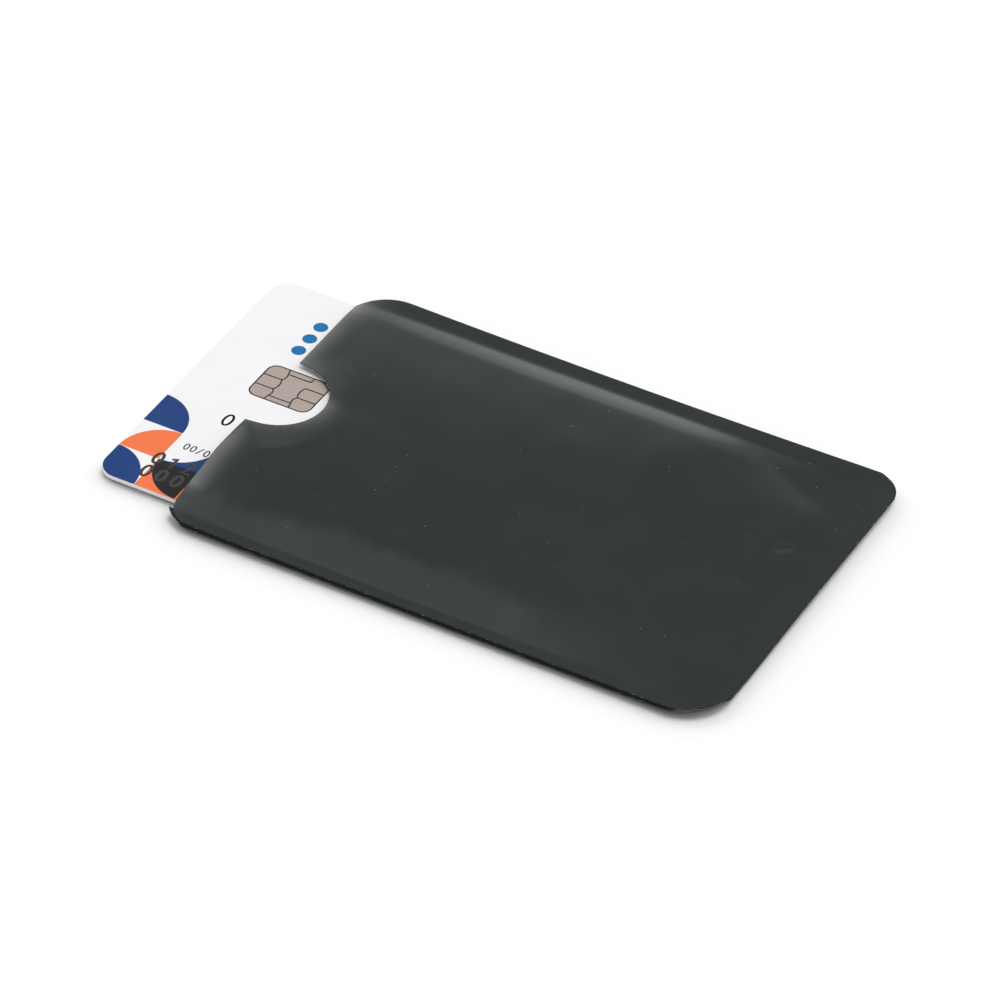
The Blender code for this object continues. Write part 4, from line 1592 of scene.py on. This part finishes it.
@dataclass(frozen=True)
class Card:
    """The printed card, the stripe on its back and the numbers on its face."""

    places: CardPlaces = CardPlaces()
    ink: Finish = GrainedSolid(
        "number_ink", "overlay", 0.6, specular=0.05,
        colour=(10.0, 10.0, 12.0), second=(20.0, 19.0, 21.0), fine=9.0,
    )
    tipping: Finish = GrainedSolid(
        "tipping_foil", "overlay", 0.4, specular=0.2,
        colour=(9.0, 8.0, 11.0), second=(18.0, 17.0, 20.0), fine=9.0,
    )
    stripe: Finish = GrainedSolid(
        "stripe_finish", "stripe", 0.32,
        colour=(28.0, 23.0, 21.0), second=(40.0, 33.0, 29.0), fine=8.0,
    )
    rows: tuple = (
        NumberLine("number_row", "0000 0000 0000 0000", (-49.0, -8.3), 2.6, 3.63, 0.40, 0.006),
        NumberLine("date_row", "00/00", (-50.7, -16.2), 1.35, 1.15, 0.22, 0.005),
    )
    raised_rows: tuple = (
        NumberLine("raised_row_upper", "01234567890", (-53.2, -21.2), 2.5, 2.6, 0.52, 0.02),
        NumberLine("raised_row_lower", "000000", (-53.2, -24.6), 2.5, 2.6, 0.52, 0.02),
    )

    def build(self) -> None:
        """Build the numbers and dress the card."""
        for rows, finish in ((self.rows, self.ink), (self.raised_rows, self.tipping)):
            material = finish.make()
            for row in rows:
                row.build(self.places.top, material)
        dress_nodes(
            {
                "card_core": CorePlastic("core_finish", "card_plastic", 0.42),
                "card_front_overlay": PrintedFace("printed_face", "overlay", 0.16, specular=0.15),
                "card_back_overlay": BackFace("back_face", "overlay", 0.30),
                "magnetic_stripe": self.stripe,
            }
        )


@dataclass(frozen=True)
class GrooveShade:
    """Painted shade of the grooves round the contacts: a thin dark band along the rim of each top
    face.
    """

    width: float = 0.055
    height: float = 0.0015
    clear: float = 0.0002  # how far the band stays over the face
    least_dot: float = -0.3  # keeps the mitre of a sharp corner short

    def border(self, thing: bpy.types.Object) -> Arrays:
        """The rim of a contact's top face, as directed edges with the face on their left.

        Args:
            thing: the contact's node.

        Returns:
            The points in millimetres, and the edges as pairs of point numbers.
        """
        mesh = thing.data
        mesh.calc_loop_triangles()
        places = np.empty(len(mesh.vertices) * 3, dtype=np.float32)
        mesh.vertices.foreach_get("co", places)
        corners = np.empty(len(mesh.loop_triangles) * 3, dtype=np.int32)
        mesh.loop_triangles.foreach_get("vertices", corners)
        places = np.round(places.reshape(-1, 3) / MM, 3)
        points, merged = np.unique(places, axis=0, return_inverse=True)
        faces = merged.ravel()[corners].reshape(-1, 3)
        faces = faces[points[faces, 2].min(axis=1) > points[:, 2].max() - 1e-3]
        edges = np.concatenate([faces[:, [0, 1]], faces[:, [1, 2]], faces[:, [2, 0]]])
        key = edges[:, 0] * len(points) + edges[:, 1]
        back = edges[:, 1] * len(points) + edges[:, 0]
        return points, edges[~np.isin(key, back)]

    def band(self, points: np.ndarray, edges: np.ndarray) -> Arrays:
        """A closed band along a rim, of the width inward and the height upward.

        Each point of the rim moves inward along the mitre of its two edges: the sum of
        their normals over one plus the normals' dot product, times the width.

        Args:
            points: the points.
            edges: the rim's directed edges.

        Returns:
            Points and four-sided faces.
        """
        along = points[edges[:, 1], :2] - points[edges[:, 0], :2]
        along = along / np.hypot(along[:, 0], along[:, 1])[:, None]
        normal = np.stack([-along[:, 1], along[:, 0]], axis=1)
        leaving = np.argsort(edges[:, 0])
        used = edges[leaving, 0]
        after = np.searchsorted(used, edges[leaving, 1])
        out, into = normal[leaving], normal[leaving][np.argsort(after)]
        dot = np.maximum((out * into).sum(axis=1), self.least_dot)
        rim = points[used]
        inner = rim.copy()
        inner[:, :2] += (out + into) / (1.0 + dot)[:, None] * self.width
        low, high = np.array([0.0, 0.0, self.clear]), np.array([0.0, 0.0, self.height])
        rings = np.concatenate([rim + low, rim + high, inner + high, inner + low])
        count = len(used)
        here = np.arange(count)
        faces = []
        for ring in range(4):
            first, second = ring * count, (ring + 1) % 4 * count
            faces.append(
                np.stack([here + first, after + first, after + second, here + second], axis=1)
            )
        return rings, np.concatenate(faces)

    def build(self, nodes: tuple[str, ...], material: bpy.types.Material) -> None:
        """Build the bands of all contacts as one piece.

        Args:
            nodes: the contacts' names.
            material: the bands' finish.
        """
        bands = [self.band(*self.border(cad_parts[node])) for node in nodes]
        thing = joined_mesh("groove_shade", bands)
        dress(thing, material)
        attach(thing, "card")


@dataclass(frozen=True)
class ChipModule:
    """The chip module: contacts, carrier, adhesive, die and resin."""

    contacts: tuple = (
        "contact_supply", "contact_reset", "contact_clock", "contact_ground",
        "contact_program", "contact_data", "contact_strip_upper", "contact_strip_lower",
    )
    plating: Finish = ContactPlating("contact_finish", "contact", 0.34, metallic=0.5, specular=0.2)
    # The carrier is dark brown, made darker still as painted shade for the grooves, where it shows
    # between the contacts.
    carrier: Finish = GrainedSolid(
        "carrier_with_groove_shade", "carrier", 0.6, specular=0.2,
        colour=(15.0, 12.0, 11.0), second=(27.0, 22.0, 18.0), fine=6.0, cloud=2.5,
    )
    adhesive: Finish = GrainedSolid(
        "adhesive_finish", "adhesive", 0.65,
        colour=(218.0, 204.0, 158.0), second=(200.0, 184.0, 138.0),
    )
    silicon: Finish = GrainedSolid(
        "silicon_finish", "silicon", 0.25, metallic=0.6,
        colour=(92.0, 94.0, 102.0), second=(80.0, 82.0, 92.0), fine=12.0,
    )
    resin: Finish = GrainedSolid(
        "resin_finish", "resin", 0.38,
        colour=(22.0, 22.0, 22.0), second=(34.0, 33.0, 32.0), fine=7.0,
    )

    def build(self) -> None:
        """Dress the module's nodes and lay painted groove shade along the borders of its contacts.
        """
        material = self.plating.make()
        for node in self.contacts:
            dress(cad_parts[node], material)
            log.info("%s: dressed", node)
        dress_nodes(
            {
                "chip_carrier": self.carrier,
                "chip_adhesive": self.adhesive,
                "chip_die": self.silicon,
                "chip_resin": self.resin,
            }
        )
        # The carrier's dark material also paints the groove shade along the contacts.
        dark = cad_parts["chip_carrier"].data.materials[0]
        GrooveShade().build(self.contacts, dark)


@dataclass(frozen=True)
class Sky:
    """The soft light round the object, as a radiance for each direction of the sky.

    Directions are angles in degrees: elevation above the floor, and how far left of
    +Y. Each panel of light has soft edges. A step or panel is given as its strength,
    then the angles at which it is dark and full.
    """

    level: float = 0.315
    near_level: float = 4.50
    near_high: float = 0.05
    near_from: Point = (0.1, -0.5)
    near_band: tuple = ((0.6, 1.6), (6.0, 9.0))
    right_level: float = 0.55
    right_from: Point = (0.1, 0.8)
    back_foot: Point = (2.0, 7.0)
    back_sides: tuple = ((-75.0, -50.0), (80.0, 100.0))
    back_steps: tuple = ((0.68, 39.1, 37.2), (1.20, 36.0, 33.3), (1.05, 33.7, 28.3))
    overhead: tuple = (6.6, 24.0, 4.0)
    overhead_at: Point = (-5.0, 53.0)
    sheen: tuple = ((0.38, 28.0, 31.0), (0.28, 11.0, 19.0))
    sheen_end: Point = (60.0, 80.0)
    sheen_band: tuple = ((40.3, 43.0), (62.0, 72.0))

    def panel(self, desk: NodeDesk, value: Signal, low: Point, high: Point) -> Signal:
        """A band of an angle: eased in over the low pair and out over the high pair."""
        return desk.ramp(value, *low) * desk.ramp(value, high[1], high[0])

    def off_overhead(self, desk: NodeDesk, way: Signal) -> Signal:
        """The angle between a direction and the overhead light's middle.

        Args:
            desk: the world's desk.
            way: the direction.

        Returns:
            The angle in degrees.
        """
        turned, raised = map(math.radians, self.overhead_at)
        level = math.cos(raised)
        centre = (-math.sin(turned) * level, math.cos(turned) * level, math.sin(raised))
        dot = desk.add("ShaderNodeVectorMath", operation="DOT_PRODUCT")
        desk.feed_all(dot.inputs, (way, centre))
        return desk.calc("ARCCOSINE", Signal(desk, dot.outputs["Value"])) * math.degrees(1.0)

    def build(self) -> None:
        """Make the world and paint its radiance, one panel of light after the other."""
        world = bpy.data.worlds.new("studio_sky")
        bpy.context.scene.world = world
        world.use_nodes = True
        desk = NodeDesk(world.node_tree)
        way = desk.read("ShaderNodeTexCoord", "Generated")
        x, y, z = desk.parts(way)
        elevation = desk.calc("ARCSINE", z) * math.degrees(1.0)
        left = desk.calc("ARCTAN2", x * -1.0, y) * math.degrees(1.0)
        near = desk.ramp(y, *self.near_from) * self.panel(desk, elevation, *self.near_band)
        light = near * (self.near_level - self.near_high)
        light = light + desk.ramp(y, *self.near_from, (self.level, self.near_high))
        light = light + desk.ramp(x, *self.right_from, (0.0, self.right_level - self.level))
        back = desk.ramp(elevation, *self.back_foot) * self.panel(desk, left, *self.back_sides)
        for strength, dark_at, full_at in self.back_steps:
            light = desk.ramp(elevation, dark_at, full_at) * back * strength + light
        strength, dark_at, full_at = self.overhead
        light = desk.ramp(self.off_overhead(desk, way), dark_at, full_at) * strength + light
        high = self.panel(desk, elevation, *self.sheen_band)
        for strength, dark_at, full_at in self.sheen:
            panel = self.panel(desk, left, (dark_at, full_at), self.sheen_end)
            light = high * panel * strength + light
        glow = world.node_tree.nodes["Background"]
        glow.inputs["Color"].default_value = (1.0, 1.0, 1.0, 1.0)
        desk.feed(glow.inputs["Strength"], light)
        log.info("sky: painted")


@dataclass(frozen=True)
class Studio:
    """The floor, the sky that lights it and the camera."""

    camera_at: tuple = (0.3537949, -0.6588734, 0.6150347)
    camera_right: tuple = (0.87129572, 0.49048458, 0.01639055)
    camera_up: tuple = (-0.32248094, 0.54703981, 0.77249821)
    camera_back: tuple = (0.36993217, -0.67836002, 0.63480537)
    lens: float = 235.76
    sensor: float = 36.0
    floor_half: float = 1500.0
    floor_points: int = 9
    floor_white: float = 0.97
    sky: Sky = Sky()

    def build_floor(self) -> None:
        """A wide white floor that the sleeve lies on."""
        line = np.linspace(-self.floor_half, self.floor_half, self.floor_points)
        x, y = np.meshgrid(line, line)
        points = np.stack([x, y, np.zeros_like(x)], axis=2).reshape(-1, 3)
        floor = mesh_from_arrays("floor", points, grid_cells(np.arange(x.size).reshape(x.shape)))
        material = bpy.data.materials.new("floor_white")
        material.use_nodes = True
        desk = NodeDesk(material.node_tree)
        desk.shader_to("Base Color", (self.floor_white,) * 3)
        desk.shader_to("Roughness", 1.0)
        desk.shader_to("Specular IOR Level", 0.0)
        floor.data.materials.append(material)

    def build_camera(self) -> None:
        """The camera at the photograph's place."""
        data = bpy.data.cameras.new("camera")
        data.lens, data.sensor_width = self.lens, self.sensor
        data.clip_start, data.clip_end = 0.01, 20.0
        thing = bpy.data.objects.new("camera", data)
        axes = Matrix((self.camera_right, self.camera_up, self.camera_back)).transposed()
        thing.matrix_world = Matrix.Translation(Vector(self.camera_at)) @ axes.to_4x4()
        bpy.context.scene.collection.objects.link(thing)
        bpy.context.scene.camera = thing

    def build(self) -> None:
        """Set up the whole studio."""
        bpy.context.scene.view_settings.view_transform = "Standard"
        self.build_camera()
        self.sky.build()
        self.build_floor()


def main() -> None:
    """Build the studio, the sleeve, the card and its chip."""
    logging.basicConfig(level=logging.INFO, format="%(name)s: %(message)s")
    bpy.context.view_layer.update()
    for part in (Studio(), Sleeve(), Card(), ChipModule()):
        part.build()
        log.info("%s: built", type(part).__name__)


if __name__ == "__main__":
    main()
